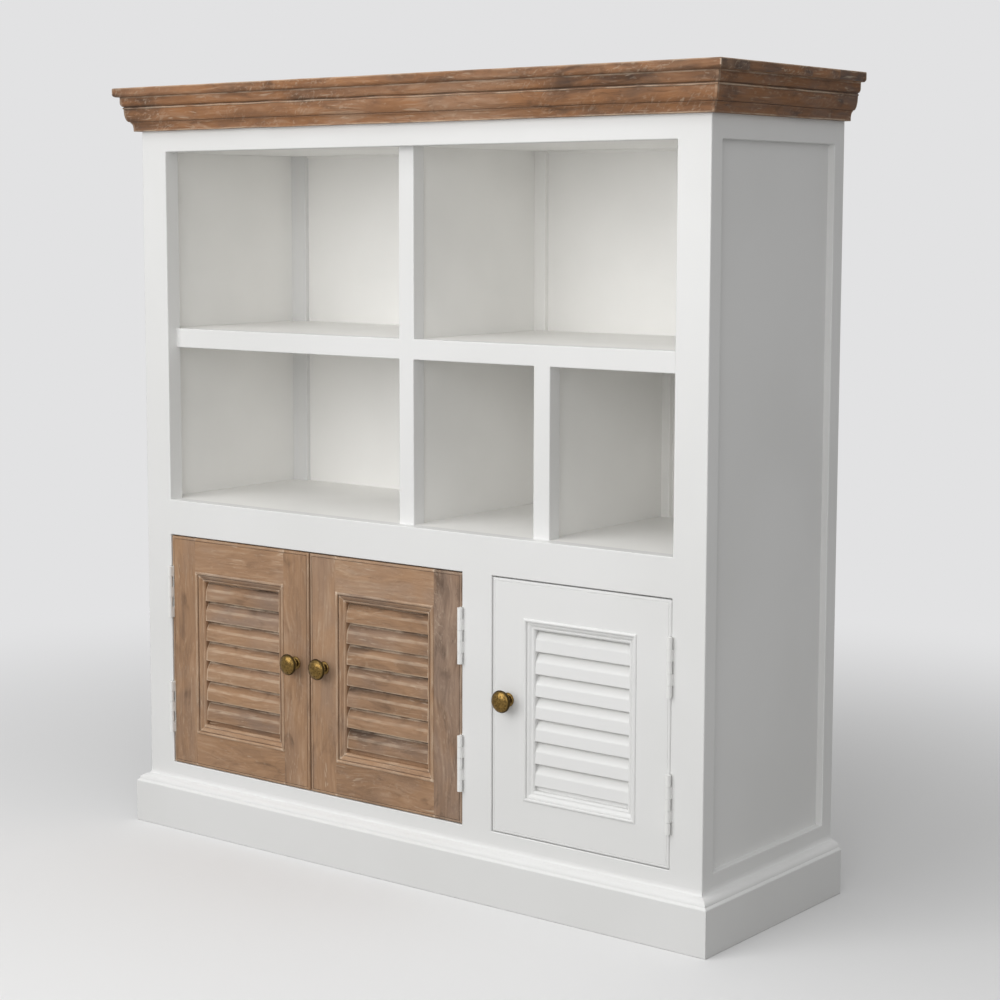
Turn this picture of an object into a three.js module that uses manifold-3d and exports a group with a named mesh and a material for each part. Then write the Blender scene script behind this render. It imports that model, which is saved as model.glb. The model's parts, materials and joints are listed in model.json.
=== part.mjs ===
// Bookcase with an open upper part and a cabinet with three louvred doors below.
// Millimetres, +Z up, +X to the right seen from the front, and the front faces -Y.
// The origin is on the floor, under the middle of the whole outline.

import * as THREE from 'three';
import { mergeVertices } from 'three/addons/utils/BufferGeometryUtils.js';
import Module from 'manifold-3d';

const wasm = await Module();
wasm.setup();

// Overall sizes
const overallWidth = 1200;
const overallDepth = 410;
const overallHeight = 1265;

// Heights of the rows, from the floor up
const bottomRailLift = 24;
const bottomRailTop = 112;
const doorOpeningHeight = 397.5;
const middleRailHeight = 60;
const lowerRowHeight = 259.5;
const shelfRailHeight = 32;
const topRailShow = 35;
const backRailDrop = 4;

// Face frame, posts and side frames
const postWidth = 56;
const postDepth = 29;
const doorMullionWidth = 57;
const pairOpeningShare = 0.662;
const sideRailThickness = 27;
const sidePanelThickness = 12;
const sidePanelRecess = 11;

// Shelves, dividers and their front rails
const shelfThickness = 15;
const ceilingThickness = 12;
const dividerThickness = 12;
const mullionWidth = 30;
const mullionDepth = 26;
const mullionSetback = 20;
const smallDividerShift = 6;
const stopRailDepth = 18;
const stopRailReach = 12;

// Back
const backPanelThickness = 12;
const backPanelInset = 8;
const backStileWidth = 56;
const backStileThickness = 9;
const backRailStep = 4;

// Cornice and top board, with heights taken downwards from the top
const corniceOverhang = 35;
const topBoardThickness = 15;
const topBoardArris = 1.5;
const topBoardRound = 5;
const corniceBandOverhang = 26;
const corniceBandHeight = 17;
const corniceBandRoundWidth = 3.5;
const corniceBandRoundHeight = 7;
const corniceFilletHeight = 5;
const corniceOvoloStep = 1;
const corniceOvoloWidth = 6.5;
const corniceOvoloHeight = 22.5;
const corniceLowerFilletHeight = 3;
const corniceCoveWidth = 5;
const corniceCoveHeight = 9.5;
const mitreGap = 0.4;

// Plinth
const plinthHeight = 84;
const plinthOverhang = 18.5;
const plinthEdgeWidth = 3.5;
const plinthEdgeHeight = 3;
const plinthRoundHeight = 10;
const plinthCove = 3;

// Doors
const doorGap = 1.5;
const doorTopGap = 2;
const doorBottomGap = 1;
const pairGap = 3;
const doorSetback = 1;
const doorThickness = 22;
const doorStopGap = 0.3;
const doorArris = 2;
const doorWindowWidth = 204;
const doorWindowHeight = 281;

// Moulding inside the frame of a door
const mouldingWidth = 17;
const mouldingFall = 7;
const beadWidth = 5;
const beadProud = 2;
const mouldingInsetShares = [0.02, 0.07, 0.29, 0.49, 0.62, 0.66, 0.83, 1];
const mouldingFallShares = [0.3, 0.2, 0.3, 0.58, 0.72, 0.62, 0.66, 1];

// Louvre slats of a door, with depths taken backwards from the face of the door
const slatCount = 7;
const slatFaceDepth = 7;
const slatLean = 1;
const slatRootDepth = 17;
const slatSlopeShare = 0.45;
const slatTopHidden = 1.5;
const slatSillHeight = 7.3;
const slatSillDepth = 13;
const slatBackDepth = 20;

// Butt hinges, let into the edges of the doors and of their jambs
const hingeLength = 88;
const hingeInset = 53;
const hingeLeafThickness = 2.5;
const hingeLeafDepth = 17;
const knuckleCount = 5;
const knuckleRadius = 4.2;
const knuckleClearance = 0.2;
const knuckleGap = 0.3;
const pinRadius = 1.5;
const pinClearance = 0.25;
const mortiseClearance = 0.3;
const cutOverrun = 2;

// Knobs
const knobInset = 30;
const knobRaise = 12;
const knobHeadRadius = 17.5;
const knobLength = 26;
const knobRadiusShares = [0, 0.62, 0.62, 0.54, 0.34, 0.28, 0.3, 0.56, 0.9, 1, 0.97, 0.82, 0.5, 0];
const knobReachShares = [0, 0, 0.05, 0.1, 0.17, 0.3, 0.48, 0.6, 0.66, 0.71, 0.77, 0.87, 0.96, 1];

// Smoothness of the round parts
const arcSteps = 6;
const knobSides = 28;
const knuckleSides = 16;
const ringCorners = 4;

// Places worked out from the sizes above
const corniceHeight = topBoardThickness + corniceBandHeight + corniceFilletHeight
  + corniceOvoloHeight + corniceLowerFilletHeight + corniceCoveHeight;
const bodyHalfWidth = overallWidth / 2 - corniceOverhang;
const bodyFront = corniceOverhang - overallDepth / 2;
const bodyBack = overallDepth / 2;
const insideHalfWidth = bodyHalfWidth - postWidth;
const frontPostBack = bodyFront + postDepth;
const backPostFront = bodyBack - postDepth;
const frameBack = bodyFront + doorSetback + doorThickness + doorStopGap;
const carcassTop = overallHeight - topBoardThickness;
const corniceBottom = overallHeight - corniceHeight;
const topRailBottom = corniceBottom - topRailShow;
const middleRailBottom = bottomRailTop + doorOpeningHeight;
const middleRailTop = middleRailBottom + middleRailHeight;
const shelfRailBottom = middleRailTop + lowerRowHeight;
const shelfRailTop = shelfRailBottom + shelfRailHeight;
const upperShelfBottom = shelfRailTop - shelfThickness;
const middleShelfBottom = middleRailTop - shelfThickness;
const sideRailInside = bodyHalfWidth - sideRailThickness;
const sidePanelOutside = bodyHalfWidth - sidePanelRecess;
const sidePanelInside = sidePanelOutside - sidePanelThickness;
const backPanelBack = bodyBack - backPanelInset;
const backPanelFront = backPanelBack - backPanelThickness;
const backStileFront = backPanelFront - backStileThickness;
const backRailFront = backPanelFront - backRailStep;
const backRailBottom = topRailBottom - backRailDrop;
const mullionFront = bodyFront + mullionSetback;
const mullionBack = mullionFront + mullionDepth;
const halfLap = (mullionFront + mullionBack) / 2;
const dividerHalving = (mullionBack + backStileFront) / 2;
const pairOpeningRight = pairOpeningShare * (2 * insideHalfWidth - doorMullionWidth) - insideHalfWidth;
const whiteOpeningLeft = pairOpeningRight + doorMullionWidth;
const doorMullionMiddle = (pairOpeningRight + whiteOpeningLeft) / 2;
const smallMullionMiddle = (mullionWidth / 2 + insideHalfWidth) / 2;
const smallDividerMiddle = smallMullionMiddle - smallDividerShift;
const pairMiddle = (pairOpeningRight - insideHalfWidth) / 2;
const mortiseDepth = knuckleRadius - doorGap / 2;
const hingeLeafBack = bodyFront + doorSetback + hingeLeafDepth;

// Every size of a door that follows from its width, the side that it is hung on and its jamb
function describeDoor(name, finish, [left, right], hingeSide, jamb) {
  const bottom = bottomRailTop + doorBottomGap;
  const top = middleRailBottom - doorTopGap;
  const face = bodyFront + doorSetback;
  const middleX = (left + right) / 2;
  const middleZ = (bottom + top) / 2;
  const hingeEdge = hingeSide < 0 ? left : right;
  return {
    name,
    finish,
    left,
    right,
    bottom,
    top,
    face,
    back: face + doorThickness,
    hingeSide,
    hingeEdge,
    freeEdge: hingeSide < 0 ? right : left,
    jamb,
    edgeMortiseFloor: hingeEdge - hingeSide * mortiseDepth,
    jambMortiseFloor: jamb + hingeSide * mortiseDepth,
    hingeSpans: {
      top: [top - hingeInset - hingeLength, top - hingeInset],
      bottom: [bottom + hingeInset, bottom + hingeInset + hingeLength],
    },
    pinX: (hingeEdge + jamb) / 2,
    pinY: bodyFront - knuckleRadius - knuckleClearance,
    windowLeft: middleX - doorWindowWidth / 2,
    windowRight: middleX + doorWindowWidth / 2,
    windowBottom: middleZ - doorWindowHeight / 2,
    windowTop: middleZ + doorWindowHeight / 2,
  };
}

// Finishes, as seen in the photograph
const paint = { color: 0xe4e3df, roughness: 0.5, metalness: 0 };
const insidePaint = { color: 0xd6d5ce, roughness: 0.6, metalness: 0 };
const corniceWood = { color: 0x9a7352, roughness: 0.75, metalness: 0 };
const doorWood = { color: 0xa88466, roughness: 0.75, metalness: 0 };
const hingePaint = { color: 0xdad8d2, roughness: 0.4, metalness: 0.1 };
const agedBrass = { color: 0x6b5a3e, roughness: 0.45, metalness: 0.85 };

// The wooden pair meets in the middle of its opening, and the white door fills the other one.
const leftDoor = describeDoor(
  'left_door',
  doorWood,
  [doorGap - insideHalfWidth, pairMiddle - pairGap / 2],
  -1,
  -insideHalfWidth,
);
const middleDoor = describeDoor(
  'middle_door',
  doorWood,
  [pairMiddle + pairGap / 2, pairOpeningRight - doorGap],
  1,
  pairOpeningRight,
);
const whiteDoor = describeDoor(
  'white_door',
  paint,
  [whiteOpeningLeft + doorGap, insideHalfWidth - doorGap],
  1,
  insideHalfWidth,
);

const bookcase = new THREE.Group();

function addPiece(name, finish, geometry) {
  const piece = new THREE.Mesh(geometry, new THREE.MeshStandardMaterial(finish));
  piece.name = name;
  bookcase.add(piece);
}

// A straight-sided block between two ends along each axis.
function block([left, right], [front, back], [bottom, top]) {
  const geometry = new THREE.BoxGeometry(1, 1, 1);
  const corners = geometry.attributes.position;
  for (let index = 0; index < corners.count; index += 1) {
    corners.setXYZ(
      index,
      corners.getX(index) < 0 ? left : right,
      corners.getY(index) < 0 ? front : back,
      corners.getZ(index) < 0 ? bottom : top,
    );
  }
  return geometry;
}

// A span centred on a place.
function around(middle, width) {
  return [middle - width / 2, middle + width / 2];
}

// A span from any two ends, the smaller one first.
function between(one, other) {
  return [Math.min(one, other), Math.max(one, other)];
}

// Points on part of an ellipse, from one angle to another, both in quarter turns.
function arc([centreX, centreY], [radiusX, radiusY], fromQuarter, toQuarter) {
  return Array.from({ length: arcSteps + 1 }, (_, step) => {
    const angle = THREE.MathUtils.lerp(fromQuarter, toQuarter, step / arcSteps) * (Math.PI / 2);
    return [centreX + radiusX * Math.cos(angle), centreY + radiusY * Math.sin(angle)];
  });
}

function shapeFrom(outline) {
  return new THREE.Shape(outline.map(([x, y]) => new THREE.Vector2(x, y)));
}

// Places each point of an extrusion with place(across, up, share), where the share runs
// from 0 at the start of the extrusion to 1 at its end.
function extrude(shape, arris, thickness, place) {
  const geometry = new THREE.ExtrudeGeometry(shape, {
    depth: thickness - 2 * arris,
    bevelEnabled: arris > 0,
    bevelThickness: arris,
    bevelSize: arris,
    bevelOffset: -arris,
    bevelSegments: 2,
  });
  const points = geometry.attributes.position;
  for (let index = 0; index < points.count; index += 1) {
    const share = (points.getZ(index) + arris) / thickness;
    points.setXYZ(index, ...place(points.getX(index), points.getY(index), share));
  }
  return geometry;
}

// A board lying flat, its outline given in x and y.
function flatBoard(outline, [bottom, top]) {
  const place = (x, y, share) => [x, y, THREE.MathUtils.lerp(bottom, top, share)];
  return extrude(shapeFrom(outline), 0, top - bottom, place);
}

// A length of any section, its outline given in y and z, that runs along x.
function crossLength(outline, [left, right]) {
  const place = (y, z, share) => [THREE.MathUtils.lerp(left, right, share), y, z];
  return extrude(shapeFrom(outline), 0, right - left, place);
}

// A length of any section, its outline given in x and z, that runs along y.
function deepLength(outline, [front, back]) {
  const place = (x, z, share) => [x, THREE.MathUtils.lerp(back, front, share), z];
  return extrude(shapeFrom(outline), 0, back - front, place);
}

function solid(geometry) {
  const bare = geometry.clone();
  bare.deleteAttribute('normal');
  bare.deleteAttribute('uv');
  const merged = mergeVertices(bare);
  return new wasm.Manifold(new wasm.Mesh({
    numProp: 3,
    vertProperties: merged.attributes.position.array,
    triVerts: Uint32Array.from(merged.index.array),
  }));
}

function joined(geometries) {
  return geometries.map(solid).reduce((whole, next) => whole.add(next));
}

function cut(geometry, cutters) {
  const remains = cutters.map(solid).reduce((whole, cutter) => whole.subtract(cutter), solid(geometry));
  return geometryOf(remains);
}

function geometryOf(body) {
  const mesh = body.getMesh();
  const geometry = new THREE.BufferGeometry();
  geometry.setAttribute('position', new THREE.BufferAttribute(mesh.vertProperties, 3));
  geometry.setIndex(new THREE.BufferAttribute(mesh.triVerts, 1));
  geometry.computeVertexNormals();
  return geometry;
}

// The two recesses for a door's hinges, from outside the wood to a floor inside it.
function hingeMortises(door, outside, floor) {
  return Object.values(door.hingeSpans).map(([bottom, top]) => block(
    between(outside, floor),
    [bodyFront - cutOverrun, hingeLeafBack + mortiseClearance],
    [bottom - mortiseClearance, top + mortiseClearance],
  ));
}

function cutJamb(geometry, door) {
  const outside = door.jamb - door.hingeSide * cutOverrun;
  return cut(geometry, hingeMortises(door, outside, door.jambMortiseFloor));
}

// Posts and rails of the face frame, the sides and the back
function addFrame() {
  const insideWidth = [-insideHalfWidth, insideHalfWidth];
  const frameDepth = [bodyFront, frameBack];
  const betweenPosts = [frontPostBack, backPostFront];
  for (const [side, label, door] of [[-1, 'left', leftDoor], [1, 'right', whiteDoor]]) {
    const postSpan = between(side * insideHalfWidth, side * bodyHalfWidth);
    const railSpan = between(side * sideRailInside, side * bodyHalfWidth);
    const panelSpan = between(side * sidePanelInside, side * sidePanelOutside);
    const frontPost = block(postSpan, [bodyFront, frontPostBack], [0, carcassTop]);
    addPiece(`${label}_front_post`, paint, cutJamb(frontPost, door));
    addPiece(`${label}_rear_post`, paint, block(postSpan, [backPostFront, bodyBack], [0, carcassTop]));
    addPiece(`${label}_side_top_rail`, paint, block(railSpan, betweenPosts, [topRailBottom, carcassTop]));
    addPiece(
      `${label}_side_bottom_rail`,
      paint,
      block(railSpan, betweenPosts, [bottomRailLift, bottomRailTop]),
    );
    addPiece(`${label}_side_panel`, paint, block(panelSpan, betweenPosts, [bottomRailTop, topRailBottom]));
  }
  addPiece('front_top_rail', paint, block(insideWidth, frameDepth, [topRailBottom, carcassTop]));
  addPiece('front_middle_rail', paint, block(insideWidth, frameDepth, [middleRailBottom, middleRailTop]));
  addPiece('front_bottom_rail', paint, block(insideWidth, frameDepth, [bottomRailLift, bottomRailTop]));
  const mullion = block(
    [pairOpeningRight, whiteOpeningLeft],
    frameDepth,
    [bottomRailTop, middleRailBottom],
  );
  addPiece('door_mullion', paint, cutJamb(mullion, middleDoor));
  addPiece(
    'back_top_rail',
    insidePaint,
    block(insideWidth, [backRailFront, bodyBack], [backRailBottom, carcassTop]),
  );
}

// Back panel and the stiles in front of it
function addBack() {
  addPiece(
    'back_panel',
    insidePaint,
    block(
      [-insideHalfWidth, insideHalfWidth],
      [backPanelFront, backPanelBack],
      [bottomRailLift, backRailBottom],
    ),
  );
  // The centre stile laps over the face of the back top rail and reaches the ceiling board.
  const stileOutline = [
    [backStileFront, middleRailTop],
    [backPanelFront, middleRailTop],
    [backPanelFront, backRailBottom],
    [backRailFront, backRailBottom],
    [backRailFront, topRailBottom],
    [backStileFront, topRailBottom],
  ];
  addPiece('back_centre_stile', insidePaint, crossLength(stileOutline, around(0, backStileWidth)));
  addPiece(
    'small_back_stile',
    insidePaint,
    block(
      around(smallMullionMiddle, mullionWidth),
      [backStileFront, backPanelFront],
      [middleRailTop, upperShelfBottom],
    ),
  );
}

// Outline of a board that fills the inside and is notched round the four posts.
// The extra points at the back are given from right to left.
function insideOutline(front, back, halfWidth, backPoints = []) {
  return [
    [-insideHalfWidth, front],
    [insideHalfWidth, front],
    [insideHalfWidth, frontPostBack],
    [halfWidth, frontPostBack],
    [halfWidth, backPostFront],
    [insideHalfWidth, backPostFront],
    [insideHalfWidth, back],
    ...backPoints,
    [-insideHalfWidth, back],
    [-insideHalfWidth, backPostFront],
    [-halfWidth, backPostFront],
    [-halfWidth, frontPostBack],
    [-insideHalfWidth, frontPostBack],
  ];
}

// Shelves, cabinet floor and ceiling
function addBoards() {
  addPiece(
    'ceiling_board',
    insidePaint,
    flatBoard(
      insideOutline(frameBack, backRailFront, sideRailInside),
      [topRailBottom, topRailBottom + ceilingThickness],
    ),
  );
  // The upper shelf is notched round the back stile and slotted for the centre divider.
  const [stileLeft, stileRight] = around(0, backStileWidth);
  const [slotLeft, slotRight] = around(0, dividerThickness);
  const stileNotchAndSlot = [
    [stileRight, backPanelFront],
    [stileRight, backStileFront],
    [slotRight, backStileFront],
    [slotRight, dividerHalving],
    [slotLeft, dividerHalving],
    [slotLeft, backStileFront],
    [stileLeft, backStileFront],
    [stileLeft, backPanelFront],
  ];
  addPiece(
    'upper_shelf',
    insidePaint,
    flatBoard(
      insideOutline(mullionBack, backPanelFront, sidePanelInside, stileNotchAndSlot),
      [upperShelfBottom, shelfRailTop],
    ),
  );
  addPiece(
    'middle_shelf',
    insidePaint,
    flatBoard(
      insideOutline(frameBack, backPanelFront, sidePanelInside),
      [middleShelfBottom, middleRailTop],
    ),
  );
  addPiece(
    'cabinet_floor',
    insidePaint,
    flatBoard(
      insideOutline(frameBack, backPanelFront, sideRailInside),
      [bottomRailTop - shelfThickness, bottomRailTop],
    ),
  );
}

// Rail and mullions at the front of the open part, half-lapped where they cross
function addShelfFront() {
  const [mullionLeft, mullionRight] = around(0, mullionWidth);
  const railOutline = [
    [-insideHalfWidth, mullionFront],
    [insideHalfWidth, mullionFront],
    [insideHalfWidth, mullionBack],
    [mullionRight, mullionBack],
    [mullionRight, halfLap],
    [mullionLeft, halfLap],
    [mullionLeft, mullionBack],
    [-insideHalfWidth, mullionBack],
  ];
  addPiece('upper_shelf_rail', paint, flatBoard(railOutline, [shelfRailBottom, shelfRailTop]));
  const mullionOutline = [
    [mullionFront, middleRailTop],
    [mullionBack, middleRailTop],
    [mullionBack, topRailBottom],
    [mullionFront, topRailBottom],
    [mullionFront, shelfRailTop],
    [halfLap, shelfRailTop],
    [halfLap, shelfRailBottom],
    [mullionFront, shelfRailBottom],
  ];
  addPiece('centre_mullion', paint, crossLength(mullionOutline, [mullionLeft, mullionRight]));
  addPiece(
    'small_mullion',
    paint,
    block(
      around(smallMullionMiddle, mullionWidth),
      [mullionFront, mullionBack],
      [middleRailTop, shelfRailBottom],
    ),
  );
}

// Upright dividers, and the rail that the doors close against
function addDividers() {
  // The centre divider is slotted from the front and crosses the upper shelf.
  const centreOutline = [
    [mullionBack, middleRailTop],
    [backStileFront, middleRailTop],
    [backStileFront, topRailBottom],
    [mullionBack, topRailBottom],
    [mullionBack, shelfRailTop],
    [dividerHalving, shelfRailTop],
    [dividerHalving, upperShelfBottom],
    [mullionBack, upperShelfBottom],
  ];
  addPiece('centre_divider', insidePaint, crossLength(centreOutline, around(0, dividerThickness)));
  addPiece(
    'small_divider',
    insidePaint,
    block(
      around(smallDividerMiddle, dividerThickness),
      [mullionBack, backStileFront],
      [middleRailTop, upperShelfBottom],
    ),
  );
  const stopRailBack = frameBack + stopRailDepth;
  const stopRailBottom = middleRailBottom - doorTopGap - stopRailReach;
  addPiece(
    'door_stop_rail',
    insidePaint,
    block(
      [-insideHalfWidth, insideHalfWidth],
      [frameBack, stopRailBack],
      [stopRailBottom, middleShelfBottom],
    ),
  );
  // The cabinet divider is cut away at the top front for the stop rail.
  const cabinetOutline = [
    [frameBack, bottomRailTop],
    [backPanelFront, bottomRailTop],
    [backPanelFront, middleShelfBottom],
    [stopRailBack, middleShelfBottom],
    [stopRailBack, stopRailBottom],
    [frameBack, stopRailBottom],
  ];
  addPiece(
    'cabinet_divider',
    insidePaint,
    crossLength(cabinetOutline, around(doorMullionMiddle, dividerThickness)),
  );
}

// A moulding planted along the front and both sides of the body, mitred at the front corners.
// Its profile is given as distance out from the body and height.
function addMouldingRun(name, finish, profile) {
  const frontSpan = 2 * bodyHalfWidth;
  const placeFront = (out, up, share) => [
    THREE.MathUtils.lerp(bodyHalfWidth + out - mitreGap, mitreGap - bodyHalfWidth - out, share),
    bodyFront - out,
    up,
  ];
  addPiece(`${name}_front`, finish, extrude(shapeFrom(profile), 0, frontSpan, placeFront));
  const sideSpan = bodyBack - bodyFront;
  const placeLeft = (out, up, share) => [
    -bodyHalfWidth - out,
    THREE.MathUtils.lerp(bodyFront - out, bodyBack, share),
    up,
  ];
  addPiece(`${name}_left`, finish, extrude(shapeFrom(profile), 0, sideSpan, placeLeft));
  const placeRight = (out, up, share) => [
    bodyHalfWidth + out,
    THREE.MathUtils.lerp(bodyBack, bodyFront - out, share),
    up,
  ];
  addPiece(`${name}_right`, finish, extrude(shapeFrom(profile), 0, sideSpan, placeRight));
}

// Cornice, with its profile written from the top of the band down to the cove
function addCornice() {
  const bandBottom = carcassTop - corniceBandHeight;
  const filletOut = corniceBandOverhang - corniceBandRoundWidth;
  const ovoloTop = bandBottom - corniceFilletHeight;
  const ovoloOut = filletOut - corniceOvoloStep;
  const lowerFilletOut = ovoloOut - corniceOvoloWidth;
  const lowerFilletTop = ovoloTop - corniceOvoloHeight;
  const coveTop = lowerFilletTop - corniceLowerFilletHeight;
  const bandRound = arc(
    [filletOut, bandBottom + corniceBandRoundHeight],
    [corniceBandRoundWidth, -corniceBandRoundHeight],
    0,
    1,
  );
  const ovolo = arc([lowerFilletOut, ovoloTop], [corniceOvoloWidth, -corniceOvoloHeight], 0, 1);
  const cove = arc([lowerFilletOut, corniceBottom], [-corniceCoveWidth, corniceCoveHeight], 1, 0);
  addMouldingRun('cornice', corniceWood, [
    [0, corniceBottom],
    [0, carcassTop],
    [corniceBandOverhang, carcassTop],
    ...bandRound,
    [filletOut, ovoloTop],
    ...ovolo,
    [lowerFilletOut, coveTop],
    ...cove.slice(1),
  ]);
}

// Top board, moulded along the front and both sides and square at the back
function addTopBoard() {
  const halfWidth = overallWidth / 2;
  const front = bodyFront - corniceOverhang;
  const roundHeight = carcassTop + topBoardRound;
  // One moulded edge, from the underside to the top, for an edge that faces a given way.
  const edge = (outermost, direction) => [
    ...arc(
      [outermost - direction * topBoardRound, roundHeight],
      [direction * topBoardRound, -topBoardRound],
      1,
      0,
    ),
    ...arc(
      [outermost - direction * topBoardArris, overallHeight - topBoardArris],
      [direction * topBoardArris, topBoardArris],
      0,
      1,
    ),
  ];
  const acrossOutline = [...edge(halfWidth, 1), ...edge(-halfWidth, -1).reverse()];
  const deepOutline = [...edge(front, -1), [bodyBack, overallHeight], [bodyBack, carcassTop]];
  const across = solid(deepLength(acrossOutline, [front, bodyBack]));
  const deep = solid(crossLength(deepOutline, [-halfWidth, halfWidth]));
  addPiece('top_board', corniceWood, geometryOf(across.intersect(deep)));
}

// Plinth, with a chamfer and a rounded top edge that rolls back to a small cove against the body
function addPlinth() {
  const shoulderOut = plinthOverhang - plinthEdgeWidth;
  const shoulderHeight = plinthHeight - plinthRoundHeight;
  const roundEnd = Math.acos(plinthCove / shoulderOut) / (Math.PI / 2);
  const round = arc([0, shoulderHeight], [shoulderOut, plinthRoundHeight], 0, roundEnd);
  const roundTop = round[round.length - 1][1];
  const cove = arc([plinthCove, roundTop + plinthCove], [-plinthCove, -plinthCove], 1, 0);
  addMouldingRun('plinth', paint, [
    [0, 0],
    [plinthOverhang, 0],
    [plinthOverhang, shoulderHeight - plinthEdgeHeight],
    ...round,
    ...cove.slice(1),
  ]);
}

// Stiles and rails of a door, glued up as one frame round its window, with its hinge recesses
function doorFrame(door) {
  const frame = shapeFrom([
    [door.left, door.bottom],
    [door.right, door.bottom],
    [door.right, door.top],
    [door.left, door.top],
  ]);
  const window = block(
    [door.windowLeft, door.windowRight],
    [door.face - cutOverrun, door.back + cutOverrun],
    [door.windowBottom, door.windowTop],
  );
  const place = (x, z, share) => [x, THREE.MathUtils.lerp(door.back, door.face, share), z];
  const outside = door.hingeEdge + door.hingeSide * cutOverrun;
  return cut(
    extrude(frame, doorArris, doorThickness, place),
    [window, ...hingeMortises(door, outside, door.edgeMortiseFloor)],
  );
}

// Moulding that lines the window: a round bead at the frame, a hollow, then a bead at the slats.
// A ring of four mitred corners, its profile given as distance in from the window's edge and depth.
function doorMoulding(door) {
  const profile = [
    [0, slatRootDepth],
    [mouldingWidth, slatRootDepth],
    ...mouldingInsetShares
      .map((share, index) => [
        THREE.MathUtils.lerp(beadWidth, mouldingWidth, share),
        mouldingFallShares[index] * mouldingFall,
      ])
      .reverse(),
    ...arc([beadWidth / 2, 0], [beadWidth / 2, -beadProud], 0, 2),
  ];
  const ring = [...profile, profile[0]];
  const halfHeight = (door.windowTop - door.windowBottom) / 2;
  const radii = ring.map(([inset, depth]) => new THREE.Vector2(halfHeight - inset, depth));
  const geometry = new THREE.LatheGeometry(radii, ringCorners, Math.PI / ringCorners);
  const corners = geometry.attributes.position;
  for (let index = 0; index < corners.count; index += 1) {
    const [inset, depth] = ring[index % ring.length];
    const x = corners.getX(index) < 0 ? door.windowLeft + inset : door.windowRight - inset;
    const z = corners.getZ(index) < 0 ? door.windowBottom + inset : door.windowTop - inset;
    corners.setXYZ(index, x, door.face + depth, z);
  }
  return geometry;
}

// Louvre slats on a backing board that fills the window behind the moulding
function doorLouvres(door) {
  const slatsBottom = door.windowBottom + mouldingWidth;
  const slatsTop = door.windowTop - mouldingWidth;
  const sillTop = slatsBottom + slatSillHeight;
  const pitch = (slatsTop + slatTopHidden - sillTop) / slatCount;
  const slopeHeight = slatSlopeShare * pitch;
  const root = door.face + slatRootDepth;
  const arris = door.face + slatFaceDepth + slatLean;
  const outline = [
    [door.face + slatBackDepth, slatsBottom],
    [door.face + slatSillDepth, slatsBottom],
    [door.face + slatSillDepth, sillTop],
  ];
  for (let slat = 0; slat < slatCount; slat += 1) {
    const bottom = sillTop + slat * pitch;
    const slopeBottom = bottom + pitch - slopeHeight;
    const slopeTop = Math.min(bottom + pitch, slatsTop);
    const slopeDepth = THREE.MathUtils.mapLinear(slopeTop, slopeBottom, bottom + pitch, arris, root);
    if (slat > 0) {
      outline.push([root, bottom]);
    }
    outline.push([door.face + slatFaceDepth, bottom]);
    outline.push([arris, slopeBottom]);
    if (slat === slatCount - 1) {
      outline.push([slopeDepth, slopeTop]);
    }
  }
  outline.push([door.face + slatBackDepth, slatsTop]);
  const slats = crossLength(outline, [door.windowLeft + mouldingWidth, door.windowRight - mouldingWidth]);
  const backing = block(
    [door.windowLeft, door.windowRight],
    [root, door.face + slatBackDepth],
    [door.windowBottom, door.windowTop],
  );
  return geometryOf(joined([backing, slats]));
}

// Mushroom knob with a round base, turned about an axis square to the door
function doorKnob(door) {
  const profile = knobRadiusShares.map(
    (share, index) => new THREE.Vector2(share * knobHeadRadius, knobReachShares[index] * knobLength),
  );
  const geometry = new THREE.LatheGeometry(profile, knobSides);
  const points = geometry.attributes.position;
  const knobX = door.freeEdge + door.hingeSide * knobInset;
  const knobZ = (door.bottom + door.top) / 2 + knobRaise;
  for (let index = 0; index < points.count; index += 1) {
    points.setXYZ(
      index,
      knobX + points.getX(index),
      door.face - points.getY(index),
      knobZ - points.getZ(index),
    );
  }
  return geometry;
}

// A round bar standing on the pin line of a door.
function pinLineBar(door, radius, [bottom, top]) {
  const bar = new THREE.CylinderGeometry(radius, radius, top - bottom, knuckleSides);
  bar.rotateX(Math.PI / 2);
  bar.translate(door.pinX, door.pinY, (bottom + top) / 2);
  return bar;
}

// One leaf of a butt hinge: its plate on the floor of its recess, and every second knuckle.
// The plate reaches forward to the pin line, where its outer face meets the knuckles.
function hingeLeaf(door, [bottom, top], plateSpan, firstRow) {
  const rowHeight = (top - bottom) / knuckleCount;
  const pieces = [block(plateSpan, [door.face, hingeLeafBack], [bottom, top])];
  for (let row = firstRow; row < knuckleCount; row += 2) {
    const rowBottom = bottom + row * rowHeight;
    const rowSpan = [rowBottom + knuckleGap / 2, rowBottom + rowHeight - knuckleGap / 2];
    pieces.push(block(plateSpan, [door.pinY, hingeLeafBack], rowSpan));
    pieces.push(pinLineBar(door, knuckleRadius, rowSpan));
  }
  return joined(pieces);
}

function addHinge(door, label, span) {
  const inwards = door.hingeSide * hingeLeafThickness;
  const doorPlate = between(door.edgeMortiseFloor, door.edgeMortiseFloor + inwards);
  const framePlate = between(door.jambMortiseFloor, door.jambMortiseFloor - inwards);
  const doorLeaf = hingeLeaf(door, span, doorPlate, 0).add(solid(pinLineBar(door, pinRadius, span)));
  const bore = solid(pinLineBar(door, pinRadius + pinClearance, span));
  const frameLeaf = hingeLeaf(door, span, framePlate, 1).subtract(bore);
  addPiece(`${door.name}_${label}_hinge_door_leaf`, hingePaint, geometryOf(doorLeaf));
  addPiece(`${door.name}_${label}_hinge_frame_leaf`, hingePaint, geometryOf(frameLeaf));
}

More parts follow.
